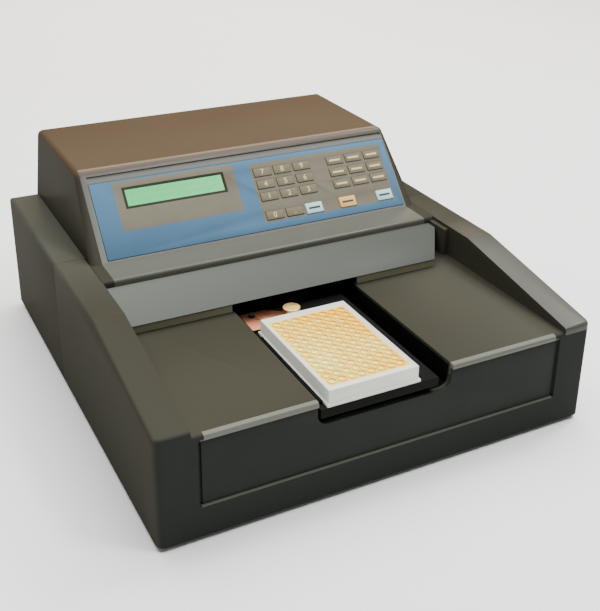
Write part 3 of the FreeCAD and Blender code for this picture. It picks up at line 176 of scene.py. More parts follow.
def tint(red, green, blue):
    """A screen colour, 0 to 255, as the linear one that nodes take."""
    parts = []
    for value in (red, green, blue):
        share = value / 255
        if share <= SRGB_KNEE:
            parts.append(share / 12.92)
        else:
            parts.append(((share + 0.055) / 1.055) ** 2.4)
    return (*parts, 1.0)


class Finish(Shade):
    """A material: its shader, and the places on the piece that its colours are read at."""

    def __init__(self, name, **constants):
        self.material = bpy.data.materials.new(name)
        self.material.use_nodes = True
        super().__init__(self.material.node_tree)
        self.shader = self.tree.nodes["Principled BSDF"]
        for socket, value in constants.items():
            self.shader.inputs[socket.replace("_", " ")].default_value = value
        self.place = self.node("ShaderNodeTexCoord", None, None, "Object")

    def feed(self, socket, value):
        """Link a changing value to one of the shader's sockets."""
        self.tree.links.new(value.socket, self.shader.inputs[socket])

    def bump(self, height, strength, distance):
        """Raise the surface by height: distance is its full depth in metres."""
        self.feed("Normal", self.node("ShaderNodeBump", None, {
            "Height": height, "Strength": strength, "Distance": distance}))

    def on(self, *pieces):
        """Give this finish to whole pieces."""
        for piece in pieces:
            piece.data.materials.clear()
            piece.data.materials.append(self.material)


PAPER_WIDE = 30.0
PAPER_BACK = 1.5
WORLD_LIGHT = 0.3
bpy.ops.mesh.primitive_plane_add(size=PAPER_WIDE, location=(0, PAPER_BACK, 0))
floor = bpy.context.object
floor.name = "studio_floor"
paper = Finish("studio_paper", Roughness=0.9)
paper.feed("Base Color", paper.place.noise(1.5, 2).mix(tint(250, 250, 250), tint(246, 246, 246)))
paper.on(floor)

world = bpy.data.worlds.new("studio")
bpy.context.scene.world = world
world.use_nodes = True
sky = world.node_tree.nodes["Background"].inputs
sky["Color"].default_value = (1.0, 0.99, 0.97, 1)
sky["Strength"].default_value = WORLD_LIGHT


def softbox(name, spot, aim, width, height, power, colour=(1, 1, 1)):
    """A rectangular lamp at spot, turned to aim."""
    bpy.ops.object.light_add(type="AREA", location=spot)
    lamp = bpy.context.object
    lamp.name = name
    lamp.data.shape = "RECTANGLE"
    lamp.data.size = width
    lamp.data.size_y = height
    lamp.data.energy = power
    lamp.data.color = colour
    direction = Vector(aim) - Vector(spot)
    lamp.rotation_euler = direction.to_track_quat("-Z", "Y").to_euler()


softbox("lamp_overhead", (0.2, 0.6, 3.0), (0, 0.2, 0), 4.0, 4.0, 260.0)
softbox("lamp_behind", (0.9, 2.2, 1.1), (0, 0, 0.15), 1.6, 0.7, 26.0, (1.0, 0.80, 0.58))
softbox("lamp_right", (1.5, 0.2, 1.9), (0.1, -0.1, 0.1), 0.4, 0.4, 20.0, (1.0, 0.98, 0.94))
softbox("lamp_front", (0.84, -1.0, 1.9), (0, 0, 0.12), 0.4, 0.4, 20.0, (0.94, 0.98, 1.0))


# Case covers: two shells moulded in dark brown-grey plastic with a fine spark texture.
# The rear one carries the head, and they meet on a reveal across each side and under
# the plateau's lip.
def rides_for(piece, node):
    """Let a piece stand for a node: it moves with the node's body, and the node is hidden."""
    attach(piece, nodes[node]["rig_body"])
    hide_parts(node)
    return piece


def pick(piece):
    """Select one piece alone and make it the active one."""
    bpy.ops.object.select_all(action="DESELECT")
    piece.select_set(True)
    bpy.context.view_layer.objects.active = piece


SHARP_ANGLE = math.radians(30.0)
MERGE_WITHIN = 0.00001
FLAT_WITHIN = math.radians(0.5)


def soften(piece, width, segments=2, smooth=35.0):
    """Break the sharp edges of a piece and smooth its curves."""
    pick(piece)
    if width:
        edge = piece.modifiers.new("broken_edges", "BEVEL")
        edge.width = width
        edge.segments = segments
        edge.limit_method = "ANGLE"
        edge.angle_limit = SHARP_ANGLE
        edge.use_clamp_overlap = True
        bpy.ops.object.modifier_apply(modifier=edge.name)
    bpy.ops.object.shade_smooth_by_angle(angle=math.radians(smooth))


def cad_copy(node, name, bevel=0.0003, segments=2, smooth=35.0):
    """A finished copy of a node: merged, its edges broken, and smooth on its curves."""
    piece = bpy.data.objects.new(name, nodes[node].data.copy())
    bpy.context.scene.collection.objects.link(piece)
    piece.data.materials.clear()
    pick(piece)
    bpy.ops.object.mode_set(mode="EDIT")
    bpy.ops.mesh.select_all(action="SELECT")
    bpy.ops.mesh.remove_doubles(threshold=MERGE_WITHIN)
    bpy.ops.mesh.dissolve_limited(angle_limit=FLAT_WITHIN)
    bpy.ops.object.mode_set(mode="OBJECT")
    soften(piece, bevel, segments, smooth=smooth)
    return rides_for(piece, node)


def moulded(name, dark, light, roughness=0.5, grain=900.0, relief=0.00006, gloss=0.09):
    """Textured moulding: a spark grain, faint flow marks and a little rubbed gloss."""
    finish = Finish(name, Specular_IOR_Level=0.0, Coat_Weight=gloss, Coat_Roughness=0.34)
    cloud = finish.place.noise(14.0, 4)
    sparks = finish.place.noise(grain, 2, 0.6)
    finish.feed("Base Color", (cloud * 0.7 + sparks * 0.3).clamped().mix(dark, light))
    finish.feed("Roughness", roughness + (finish.place.noise(40.0, 3) - 0.5) * 0.10)
    finish.bump(sparks, 0.35, relief)
    return finish


CASE_GLOSS = 0.07
CASE_DARK = tint(51, 50, 42)
CASE_LIGHT = tint(57, 56, 47)
case_finish = moulded("case_moulding", CASE_DARK, CASE_LIGHT, gloss=CASE_GLOSS)

# the head's top is painted a warm brown that stands in for the warm sheen it catches,
# the front wall is painted darker for the shade it stands in, and painted highlights make
# the key frame, the wings, the deck's right half and front edge, and the border of the
# fascia's recess paler. A pair says where a change starts and where it is full, or the two ends
# of a stretch.
HEAD_WARM_SHEEN = (-0.006, -0.001)
FRAME_HALF = 0.1625
FRAME_DEPTH = (-0.028, 0.088)
FRAME_LOW = 0.100
WING_INNER = 0.173
SLOPE_LOW = 0.093
SLOPE_LIT = (-0.030, -0.1014)
LEFT_TOP = (0.1205, 0.1245)
LEFT_LIT = (-0.060, 0.065)
DECK_LEVELS = (0.085, 0.097)
DECK_LIT = (0.050, 0.300)
DECK_FADE = (0.168, 0.1513)
EDGE_HALF = 0.163
EDGE_FRONT = -0.2170
EDGE_LOW = 0.084
SHADED_WALL = (-0.2185, -0.2210)
RECESS_BORDER = 0.0012
FRAME_HIGHLIGHT = 0.6
SLOPE_HIGHLIGHT = 0.3
LEFT_HIGHLIGHT = 0.4
DECK_HIGHLIGHT = 0.5
RECESS_HIGHLIGHT = 0.7
RUBBED_GLOSS = 0.45
case_x, case_y, case_z = (case_finish.place.part(index) for index in range(3))
head_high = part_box("rear_cover")[1].z
# painted warm sheen: the head's top turns brown near its highest level
warm_sheen = (case_z - head_high).ramp(*HEAD_WARM_SHEEN)
on_frame = (abs(case_x) < FRAME_HALF) * case_y.between(*FRAME_DEPTH) * (case_z > FRAME_LOW)
on_slope = (case_x > WING_INNER) * (case_z > SLOPE_LOW) * case_y.ramp(*SLOPE_LIT)
on_left = (case_x < -WING_INNER) * case_z.ramp(*LEFT_TOP) * case_y.ramp(*LEFT_LIT)
on_deck = ((case_y > EDGE_FRONT) * case_z.between(*DECK_LEVELS)
           * case_x.ramp(*DECK_LIT) * case_x.ramp(*DECK_FADE))
on_edge = (abs(case_x) < EDGE_HALF) * (case_y < EDGE_FRONT) * (case_z > EDGE_LOW)
fascia_low, fascia_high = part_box("front_fascia")
in_recess = (case_x.between(fascia_low.x - RECESS_BORDER, fascia_high.x + RECESS_BORDER)
             * case_z.between(fascia_low.z - RECESS_BORDER, fascia_high.z + RECESS_BORDER)
             * (case_y < fascia_high.y))
patchy = case_finish.place.noise(7.0, 3)
# painted shade: the front wall's face turns darker than the rest of the moulding
plain_with_wall_shade = case_y.ramp(*SHADED_WALL).mix(patchy.mix(CASE_DARK, CASE_LIGHT), tint(39, 42, 39))
# painted highlights: these places are mixed toward a paler colour
painted_highlights = (on_frame * FRAME_HIGHLIGHT + on_slope * SLOPE_HIGHLIGHT + on_left * LEFT_HIGHLIGHT
        + on_deck * DECK_HIGHLIGHT + on_edge + in_recess * RECESS_HIGHLIGHT).clamped()
# the painted sheen's brown colour
sheen_brown = patchy.mix(tint(70, 57, 43), tint(77, 64, 49))
case_finish.feed("Base Color", warm_sheen.mix(painted_highlights.mix(plain_with_wall_shade, tint(92, 93, 84)), sheen_brown))
glossy = (on_frame + on_slope + on_edge).clamped()
case_finish.feed("Coat Weight", CASE_GLOSS + glossy * RUBBED_GLOSS)
front_cover = cad_copy("front_cover", "front_cover_shell", 0.0004)
rear_cover = cad_copy("rear_cover", "rear_cover_shell", 0.0004)
case_finish.on(front_cover, rear_cover)


# Front fascia: a near-black satin sheet, open at the channel and bonded into the front
# wall's shallow recess.
fascia = cad_copy("front_fascia", "fascia_sheet", 0.0003)
fascia_finish = Finish("fascia_satin", Specular_IOR_Level=0.0, Coat_Weight=0.08,
                       Coat_Roughness=0.3)
fascia_finish.feed("Base Color", fascia_finish.place.noise(18.0, 3).mix(
    tint(38, 40, 38), tint(45, 47, 45)))
fascia_finish.feed("Roughness", 0.4 + fascia_finish.place.noise(60.0, 3) * 0.08)
fascia_finish.bump(fascia_finish.place.noise(1400.0, 2), 0.2, 0.00004)
fascia_finish.on(fascia)


# Channel liner: a moulded trough, matt black so that no stray light runs along it to
# the photocells.
liner = cad_copy("channel_liner", "channel_trough", 0.0002)
black_finish = moulded("matt_black", tint(11, 11, 10), tint(16, 16, 15), 0.7, 700.0,
                       0.00005, 0.02)
black_finish.on(liner)


# Tunnel hood: a lighter satin sheet bent over the mouth of the tunnel. A painted shade
# darkens it to the right of HOOD_LEFT by HOOD_FALL for each metre. Below its slope, the
# short skirts that come down to the deck are painted a light brown for the light they catch.
SKIRT_TOP = 0.1036
SKIRT_SLACK = 0.0002
HOOD_LEFT = -0.2
HOOD_FALL = 2.4
hood = cad_copy("tunnel_hood", "tunnel_hood_sheet", 0.0005, 3)
hood_finish = Finish("hood_satin", Specular_IOR_Level=0.0, Coat_Weight=0.1,
                     Coat_Roughness=0.35)
hood_grain = hood_finish.place.noise(1100.0, 2, 0.6)
hood_falloff_and_grain = (hood_finish.place.part(0) - HOOD_LEFT) * HOOD_FALL + (hood_grain - 0.5) * 0.3
hood_face = hood_falloff_and_grain.clamped().mix(tint(92, 96, 90), tint(66, 69, 64))
# the skirts' light brown is painted light
on_skirt = hood_finish.place.part(2) < SKIRT_TOP - SKIRT_SLACK
hood_finish.feed("Base Color", on_skirt.mix(hood_face, tint(128, 124, 106)))
hood_finish.feed("Roughness", 0.42 + hood_finish.place.noise(40.0, 3) * 0.08)
hood_finish.bump(hood_grain, 0.3, 0.00003)
hood_finish.on(hood)


# Key panel: a polyester overlay, bonded to the slanted frame and printed blue, with taupe
# fields round the display and the keys. The keys carry plain figures and bars.
PANEL_TOP_Y = 0.081
PANEL_TOP_Z = 0.1942
PANEL_RUN = 0.0600
PANEL_RISE = 0.0687
PANEL_DOWN = Vector((0.0, -PANEL_RUN, -PANEL_RISE)).normalized()
PANEL_OUT = Vector((0.0, -PANEL_RISE, PANEL_RUN)).normalized()
PANEL_LEAN = math.atan2(PANEL_RISE, PANEL_RUN)
OVERLAY_HIGH = 0.000525
KEY_RISE = 0.0008


def panel_spot(x, down, lift=0.0):
    """The place in space of a point on the panel, lift off its face."""
    return Vector((x, PANEL_TOP_Y, PANEL_TOP_Z)) + PANEL_DOWN * down + PANEL_OUT * lift


class PanelPrint(Finish):
    """A finish whose print is laid out across and down the slanted panel."""

    def __init__(self, name, **constants):
        super().__init__(name, **constants)
        self.right = self.place.part(0)
        self.down = ((self.place.part(1) - PANEL_TOP_Y) * PANEL_DOWN.y
                     + (self.place.part(2) - PANEL_TOP_Z) * PANEL_DOWN.z)

    def field(self, left, right, top, bottom):
        """One inside a printed rectangle, and nought outside it."""
        return self.right.between(left, right) * self.down.between(top, bottom)


# printed fields: left, right, top and bottom
FIELD_DISPLAY = (-0.1355, -0.0135, 0.0150, 0.0640)
FIELD_KEYS = (0.0040, 0.1530, 0.0180, 0.0810)
FIELD_FRAME = (-0.1275, -0.0245, 0.0212, 0.0428)
overlay = cad_copy("keypad_overlay", "panel_overlay", 0.0002, 2)
overlay_finish = PanelPrint("printed_overlay", Specular_IOR_Level=0.0, Coat_Weight=0.04,
                            Coat_Roughness=0.3)
blue = overlay_finish.place.noise(30.0, 3).mix(tint(74, 106, 132), tint(82, 114, 140))
taupe = overlay_finish.place.noise(45.0, 3).mix(tint(106, 102, 88), tint(116, 112, 98))
fields = (overlay_finish.field(*FIELD_DISPLAY) + overlay_finish.field(*FIELD_KEYS)).clamped()
display_frame = overlay_finish.field(*FIELD_FRAME)
overlay_finish.feed("Base Color", display_frame.mix(fields.mix(blue, taupe), tint(52, 52, 44)))
overlay_finish.feed("Roughness", 0.42 + overlay_finish.place.noise(70.0, 2) * 0.06)
overlay_finish.bump(overlay_finish.place.noise(1600.0, 2), 0.15, 0.00002)
overlay_finish.on(overlay)

# the lit display, with its two rows of character cells a shade darker
CELL_PITCH = 0.0040
CELL_WIDE = 0.0033
ROW_PITCH = 0.0068
ROW_HIGH = 0.0056
ROWS_TOP = 0.0253
ROWS = (-0.121, -0.031, ROWS_TOP, 0.0388)
CELL_SHADE = 0.35
GLOW_PATCHY = 0.5
window = cad_copy("display_window", "display_screen", 0.0001, 1)
screen_finish = PanelPrint("lit_display", Roughness=0.2, Specular_IOR_Level=0.05,
                            Emission_Strength=0.6)
cell = ((screen_finish.right % CELL_PITCH) < CELL_WIDE) * (
    ((screen_finish.down - ROWS_TOP) % ROW_PITCH) < ROW_HIGH)
inside = screen_finish.field(*ROWS)
dimmed = cell * inside * CELL_SHADE + screen_finish.place.noise(25.0, 2) * GLOW_PATCHY
screen = dimmed.clamped().mix(tint(80, 226, 124), tint(54, 186, 94))
screen_finish.feed("Base Color", screen_finish.place.noise(40.0, 2).mix(
    tint(70, 160, 100), tint(84, 176, 114)))
screen_finish.feed("Emission Color", screen)
screen_finish.on(window)


# keys, each a cap with its own print: figures on the left block and bars on the rest,
# cream on the taupe caps and dark on the coloured ones
FIGURES = ("7", "8", "9", "4", "5", "6", "1", "2", "3", "0", ".")
FIGURE_HIGH = 0.0062
FIGURE_TO_FONT = 1.25
FIGURE_DEEP = 0.00003
FIGURE_BOLD = 0.00006
BAR_WIDE = 0.0128
BAR_HIGH = 0.0021
BAR_CORNER = 0.0005
BAR_DEEP = 0.00004
LEGEND_LIFT = 0.00004


def key_print(name, dark, light):
    """Printed ink or a coloured cap, satin like the overlay."""
    finish = Finish(name, Specular_IOR_Level=0.0, Coat_Weight=0.05, Coat_Roughness=0.35)
    finish.feed("Base Color", finish.place.noise(60.0, 2).mix(dark, light))
    finish.feed("Roughness", 0.42 + finish.place.noise(90.0, 2) * 0.06)
    finish.bump(finish.place.noise(1500.0, 2), 0.15, 0.00002)
    return finish


def laid(piece, name, x, down, lift):
    """Lay a flat piece, drawn round the origin, on the panel with its place applied."""
    pick(piece)
    piece.name = name
    piece.data.name = name
    piece.rotation_euler = (PANEL_LEAN, 0, 0)
    piece.location = panel_spot(x, down, lift)
    bpy.ops.object.transform_apply(location=True, rotation=True, scale=True)


def figure(character):
    """One character as a flat solid round the origin."""
    bpy.ops.object.text_add(location=(0, 0, 0))
    text = bpy.context.object.data
    text.body = character
    text.size = FIGURE_HIGH * FIGURE_TO_FONT
    text.align_x = "CENTER"
    text.align_y = "CENTER"
    text.extrude = FIGURE_DEEP
    text.offset = FIGURE_BOLD
    bpy.ops.object.convert(target="MESH")
    return bpy.context.object


def rounded_bar():
    """A flat bar round the origin, its corners rounded."""
    bpy.ops.mesh.primitive_plane_add(size=1.0, location=(0, 0, 0))
    bpy.ops.object.mode_set(mode="EDIT")
    bpy.ops.mesh.select_all(action="SELECT")
    bpy.ops.transform.resize(value=(BAR_WIDE, BAR_HIGH, 1.0))
    bpy.ops.mesh.bevel(offset=BAR_CORNER, segments=3, affect="VERTICES")
    bpy.ops.mesh.extrude_region_move(TRANSFORM_OT_translate={"value": (0, 0, BAR_DEEP)})
    bpy.ops.object.mode_set(mode="OBJECT")
    return bpy.context.object


taupe_key = key_print("key_taupe", tint(112, 106, 88), tint(120, 114, 95))
cyan_key = key_print("key_pale_blue", tint(176, 214, 214), tint(188, 224, 222))
orange_key = key_print("key_orange", tint(222, 176, 104), tint(232, 188, 116))
cream_ink = key_print("cream_ink", tint(206, 186, 140), tint(218, 198, 152))
dark_ink = key_print("dark_ink", tint(66, 70, 66), tint(76, 80, 76))
left_keys = [f"key_left_{row}_{column}" for row in (1, 2, 3) for column in (1, 2, 3)]
left_keys += ["key_left_4_1", "key_left_4_2"]
for name in sorted(node for node in nodes if node.startswith("key_")):
    cap = cad_copy(name, f"{name}_cap", 0.0003, 2)
    low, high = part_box(name)
    middle = (low + high) / 2
    key_down = (middle - panel_spot(middle.x, 0.0)).dot(PANEL_DOWN)
    ink = cream_ink
    if name in ("key_enter", "key_start"):
        cyan_key.on(cap)
        ink = dark_ink
    elif name == "key_stop":
        orange_key.on(cap)
        ink = dark_ink
    else:
        taupe_key.on(cap)
    legend = figure(FIGURES[left_keys.index(name)]) if name in left_keys else rounded_bar()
    laid(legend, f"{name}_legend", middle.x, key_down, OVERLAY_HIGH + KEY_RISE + LEGEND_LIFT)
    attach(legend, nodes[name]["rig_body"])
    ink.on(legend)


# Microplate: clear polystyrene moulded in one shot, a skirt and a rimmed deck with
# ninety-six wells, all filled with a yellow assay.
WELL_PITCH = 0.009
WELLS_ACROSS = 8
WELLS_ALONG = 12
WELL_RADIUS = 0.0034
WELL_FOOT = 0.0032
WELL_DEEP = 0.0107
BORE_PAST = 0.0002
WELL_SIDES = 16
RIM_WIDE = 0.0017
DECK_DROP = 0.0012
FLANGE_WIDE = 0.0016
FLANGE_HIGH = 0.0025
LEVEL_SLACK = 0.00005
FACING = 0.9
plate_low, plate_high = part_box("microplate")
plate_middle = (plate_low + plate_high) / 2
first_well = Vector((plate_middle.x - WELL_PITCH * (WELLS_ACROSS - 1) / 2,
                     plate_middle.y - WELL_PITCH * (WELLS_ALONG - 1) / 2, plate_high.z))


def faces_at(piece, height):
    """Select the level faces of a piece at one height, in edit mode."""
    bpy.ops.object.mode_set(mode="OBJECT")
    for polygon in piece.data.polygons:
        level_face = abs(polygon.normal.z) > FACING
        polygon.select = level_face and abs(polygon.center.z - height) < LEVEL_SLACK
    bpy.ops.object.mode_set(mode="EDIT")
    bpy.ops.mesh.select_mode(type="FACE")


def grid_of(piece, name):
    """Repeat a piece over the plate's wells and apply the repeats."""
    pick(piece)
    for index, (count, step) in enumerate(((WELLS_ACROSS, (WELL_PITCH, 0, 0)),
                                           (WELLS_ALONG, (0, WELL_PITCH, 0)))):
        repeat = piece.modifiers.new(f"repeat_{index}", "ARRAY")
        repeat.count = count
        repeat.use_relative_offset = False
        repeat.use_constant_offset = True
        repeat.constant_offset_displace = step
        bpy.ops.object.modifier_apply(modifier=repeat.name)
    piece.name = name
    return piece


def cut_by(piece, tool):
    """Cut a tool's shape out of a piece and delete the tool."""
    pick(piece)
    cut = piece.modifiers.new("cut", "BOOLEAN")
    cut.operation = "DIFFERENCE"
    cut.solver = "EXACT"
    cut.object = tool
    bpy.ops.object.modifier_apply(modifier=cut.name)
    bpy.data.objects.remove(tool)


# the skirt's flange, the walls set in from it, and the deck sunk inside its rim
size = plate_high - plate_low
shrink = (1 - 2 * FLANGE_WIDE / size.x, 1 - 2 * FLANGE_WIDE / size.y, 1.0)
flange_top = plate_low.z + FLANGE_HIGH
bpy.ops.mesh.primitive_cube_add(size=1.0, location=plate_middle)
plate = bpy.context.object
plate.name = "clear_plate"
plate.scale = size
bpy.ops.object.transform_apply(location=True, rotation=True, scale=True)
bpy.ops.object.mode_set(mode="EDIT")
bpy.ops.mesh.select_all(action="SELECT")
bpy.ops.mesh.bisect(plane_co=(0, 0, flange_top), plane_no=(0, 0, 1))
bpy.ops.object.mode_set(mode="OBJECT")
for polygon in plate.data.polygons:
    polygon.select = polygon.center.z > flange_top + LEVEL_SLACK
bpy.ops.object.mode_set(mode="EDIT")
bpy.ops.mesh.delete(type="FACE")
bpy.ops.mesh.select_mode(type="EDGE")
bpy.ops.object.mode_set(mode="OBJECT")
for edge in plate.data.edges:
    edge.select = all(plate.data.vertices[index].co.z > flange_top - LEVEL_SLACK
                      for index in edge.vertices)
bpy.ops.object.mode_set(mode="EDIT")
bpy.ops.mesh.extrude_region_move()
bpy.ops.transform.resize(value=shrink,
                         center_override=(plate_middle.x, plate_middle.y, flange_top))
bpy.ops.mesh.extrude_region_move(
    TRANSFORM_OT_translate={"value": (0, 0, size.z - FLANGE_HIGH)})
bpy.ops.mesh.edge_face_add()
faces_at(plate, plate_high.z)
bpy.ops.mesh.inset(thickness=RIM_WIDE)
bpy.ops.transform.translate(value=(0, 0, -DECK_DROP))
bpy.ops.mesh.select_all(action="SELECT")
bpy.ops.mesh.remove_doubles(threshold=MERGE_WITHIN / 2)
bpy.ops.mesh.normals_make_consistent(inside=False)
bpy.ops.object.mode_set(mode="OBJECT")

# wells, sunk as tapered bores
bpy.ops.mesh.primitive_cone_add(
    vertices=WELL_SIDES, radius1=WELL_FOOT, radius2=WELL_RADIUS, depth=WELL_DEEP,
    location=first_well + Vector((0, 0, BORE_PAST - DECK_DROP - WELL_DEEP / 2)))
bores = grid_of(bpy.context.object, "well_bores")
bpy.ops.object.transform_apply(location=True, rotation=True, scale=True)
cut_by(plate, bores)
soften(plate, 0.0003, 2, smooth=40.0)

# the low ring round each well: out of its circle up, in over its top and down again
RING_HIGH = 0.0008
RING_WALL = 0.0006
RING_INSIDE = 0.86
bpy.ops.mesh.primitive_circle_add(vertices=WELL_SIDES, radius=WELL_RADIUS + RING_WALL,
                                  location=first_well + Vector((0, 0, -DECK_DROP)))
ring = bpy.context.object
bpy.ops.object.transform_apply(location=True, rotation=True, scale=True)
bpy.ops.object.mode_set(mode="EDIT")
bpy.ops.mesh.select_mode(type="EDGE")
bpy.ops.mesh.select_all(action="SELECT")
bpy.ops.mesh.extrude_region_move(TRANSFORM_OT_translate={"value": (0, 0, RING_HIGH)})
ring_middle = first_well + Vector((0, 0, RING_HIGH - DECK_DROP))
bpy.ops.mesh.extrude_region_move()
bpy.ops.transform.resize(value=(RING_INSIDE, RING_INSIDE, 1.0), center_override=ring_middle)
bpy.ops.mesh.extrude_region_move(TRANSFORM_OT_translate={"value": (0, 0, -RING_HIGH)})
bpy.ops.mesh.select_all(action="SELECT")
bpy.ops.mesh.normals_make_consistent(inside=False)
bpy.ops.object.mode_set(mode="OBJECT")
grid_of(ring, "well_rings")
soften(ring, 0.0)


PALE_MOST = 0.27
PALE_PATCHY = 0.9
PALE_ACROSS = 6.0
PALE_ALONG = 9.0
PALE_FRONT = 0.018


def paler(place):
    """How thin the assay's yellow is: thinnest at the left, just in front of the middle."""
    to_right = (place.part(0) - plate_middle.x) * PALE_ACROSS
    along = abs(place.part(1) - plate_middle.y + PALE_FRONT) * PALE_ALONG
    return (PALE_MOST - to_right + place.noise(55.0, 1) * PALE_PATCHY - along).clamped()


plate_finish = Finish("clear_polystyrene", Roughness=0.2, Specular_IOR_Level=0.3, Alpha=0.8)
LIT_HALF_WIDE = 0.0375
LIT_HALF_LONG = 0.0555
LIT_DEEP = 0.004
lit_by_assay = ((abs(plate_finish.place.part(0) - plate_middle.x) < LIT_HALF_WIDE)
                * (abs(plate_finish.place.part(1) - plate_middle.y) < LIT_HALF_LONG)
                * (plate_finish.place.part(2) > plate_high.z - LIT_DEEP))
clear = plate_finish.place.noise(30.0, 2).mix(tint(222, 223, 214), tint(236, 236, 228))
yellow_light = paler(plate_finish.place).mix(tint(255, 206, 0), tint(255, 240, 150))
plate_finish.feed("Base Color", lit_by_assay.mix(clear, yellow_light))
plate_finish.bump(plate_finish.place.noise(60.0, 2), 0.1, 0.0001)
plate_finish.on(plate, ring)
rides_for(plate, "microplate")
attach(ring, "plate")

# the assay in the wells, each with a hollow meniscus in two steps: how far in, and how
# far down
FILL_DROP = 0.0018
FILL_GAP = 0.0001
MENISCUS = ((0.0008, 0.0005), (0.0012, 0.0001))
bpy.ops.mesh.primitive_circle_add(vertices=WELL_SIDES, radius=WELL_RADIUS - FILL_GAP,
                                  fill_type="NGON",
                                  location=first_well + Vector((0, 0, -FILL_DROP)))
filling = bpy.context.object
bpy.ops.object.transform_apply(location=True, rotation=True, scale=True)
bpy.ops.object.mode_set(mode="EDIT")
bpy.ops.mesh.select_all(action="SELECT")
for step_in, step_down in MENISCUS:
    bpy.ops.mesh.inset(thickness=step_in)
    bpy.ops.transform.translate(value=(0, 0, -step_down))
bpy.ops.object.mode_set(mode="OBJECT")
grid_of(filling, "well_assay")
soften(filling, 0.0, smooth=60.0)
# the assay glows a little in its own colour: a painted glow that makes the yellow brighter than
# the lamps alone light it
assay_finish = Finish("yellow_assay", Roughness=0.06, IOR=1.34, Emission_Strength=0.4)
assay = paler(assay_finish.place).mix(tint(255, 200, 0), tint(255, 238, 120))
assay_finish.feed("Base Color", assay)
assay_finish.feed("Emission Color", assay)
assay_finish.bump(assay_finish.place.noise(200.0, 1), 0.05, 0.0001)
assay_finish.on(filling)
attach(filling, "plate")


# Plate carrier and pusher: a black anodised frame, milled open under the wells. The arm
# is copper sheet on a pin and its roller turned brass.
def metal(name, dark, light, roughness, scale=260.0, stretch=(1.0, 1.0, 1.0)):
    """Plain metal: fine marks that run with the tool, and a slightly uneven sheen."""
    finish = Finish(name, Metallic=1.0)
    lines = finish.node("ShaderNodeMapping", None, {"Vector": finish.place, "Scale": stretch})
    marks = lines.noise(scale, 4, 0.6)
    finish.feed("Base Color", marks.mix(dark, light))
    finish.feed("Roughness", roughness + (marks - 0.5) * 0.16)
    finish.bump(marks, 0.12, 0.00003)
    return finish


carrier = cad_copy("plate_carrier", "carrier_frame", 0.0003)
carrier_finish = moulded("carrier_anodised", tint(20, 20, 19), tint(27, 27, 26), 0.5, 1200.0,
                         0.00004, 0.05)
carrier_finish.on(carrier)
pusher = cad_copy("plate_pusher", "pusher_arm", 0.0002)
copper_finish = metal("copper_sheet", tint(150, 96, 70), tint(178, 120, 90), 0.42)
copper_finish.on(pusher)
roller = cad_copy("pusher_roller", "brass_roller", 0.0005, 3)
brass_finish = metal("turned_brass", tint(220, 180, 108), tint(238, 204, 136), 0.3,
                     300.0, (1.0, 1.0, 12.0))
brass_finish.on(roller)


# Carriage and belt drive: a milled block on a ground rod, pulled by a toothed belt over
# two turned pulleys on folded brackets.
steel_finish = metal("plated_steel", tint(150, 151, 152), tint(180, 181, 182), 0.36, 120.0)
ground_finish = metal("ground_steel", tint(178, 178, 180), tint(206, 206, 208), 0.18, 400.0,
                      (1.0, 12.0, 1.0))
milled_finish = metal("milled_aluminium", tint(168, 168, 170), tint(196, 196, 198), 0.34,
                      220.0, (10.0, 1.0, 1.0))
rubber_finish = moulded("black_rubber", tint(22, 22, 22), tint(30, 30, 30), 0.7, 600.0)
motor_finish = moulded("motor_paint", tint(26, 26, 27), tint(34, 34, 35), 0.45, 900.0)
milled_finish.on(cad_copy("carriage_block", "carriage_runner", 0.0004),
                 cad_copy("drive_pulley", "rear_belt_pulley", 0.0002),
                 cad_copy("idler_pulley", "front_belt_pulley", 0.0002))
ground_finish.on(cad_copy("guide_rod", "ground_rod", 0.0005))
steel_finish.on(cad_copy("drive_brackets", "folded_brackets", 0.0003))
rubber_finish.on(cad_copy("drive_belt", "toothed_belt", 0.0002))
motor_finish.on(cad_copy("drive_motor", "belt_motor", 0.0004))


# Optics: a folded steel bridge over the tunnel, which carries the milled lamp housing, the
# black filter wheel with its glass filters, the beam tube and the lens block. The
# photocells lie on a board below.
glass_finish = Finish("filter_glass", Roughness=0.1)
glass_finish.feed("Base Color", glass_finish.place.noise(80.0, 2).mix(
    tint(120, 90, 150), tint(150, 116, 178)))
board_finish = Finish("circuit_board", Roughness=0.4)
board_finish.feed("Base Color", board_finish.place.noise(240.0, 3).mix(
    tint(24, 78, 48), tint(38, 104, 66)))
board_finish.bump(board_finish.place.noise(500.0, 2), 0.3, 0.0001)
steel_finish.on(cad_copy("optics_bridge", "folded_bridge", 0.0003))
motor_finish.on(cad_copy("filter_wheel", "anodised_wheel", 0.0002),
                cad_copy("filter_motor", "wheel_motor", 0.0004))
glass_finish.on(cad_copy("optical_filters", "filter_discs", 0.0002))
milled_finish.on(cad_copy("lamp_housing", "finned_lamp_house", 0.0003))
black_finish.on(cad_copy("beam_tube", "light_tube", 0.0002),
                cad_copy("lens_block", "lens_row", 0.0002))
board_finish.on(cad_copy("detector_board", "photocell_board", 0.0002),
                cad_copy("panel_board", "display_board", 0.0002),
                cad_copy("main_board", "control_board", 0.0002))
steel_finish.on(cad_copy("power_supply", "vented_supply", 0.0003))


# Underside: a painted steel pan, held up into the shells by eight screws, on four
# rubber feet.
tray_finish = moulded("painted_steel", tint(58, 57, 52), tint(66, 65, 60), 0.45, 800.0)
tray_finish.on(cad_copy("base_tray", "steel_pan", 0.0003))
screw_finish = metal("zinc_screws", tint(162, 160, 150), tint(190, 187, 176), 0.3, 200.0)
screw_finish.on(cad_copy("cover_screws", "pan_screws", 0.0004, 2, 40.0))
rubber_finish.on(cad_copy("rubber_feet", "round_feet", 0.0012, 3, 40.0))


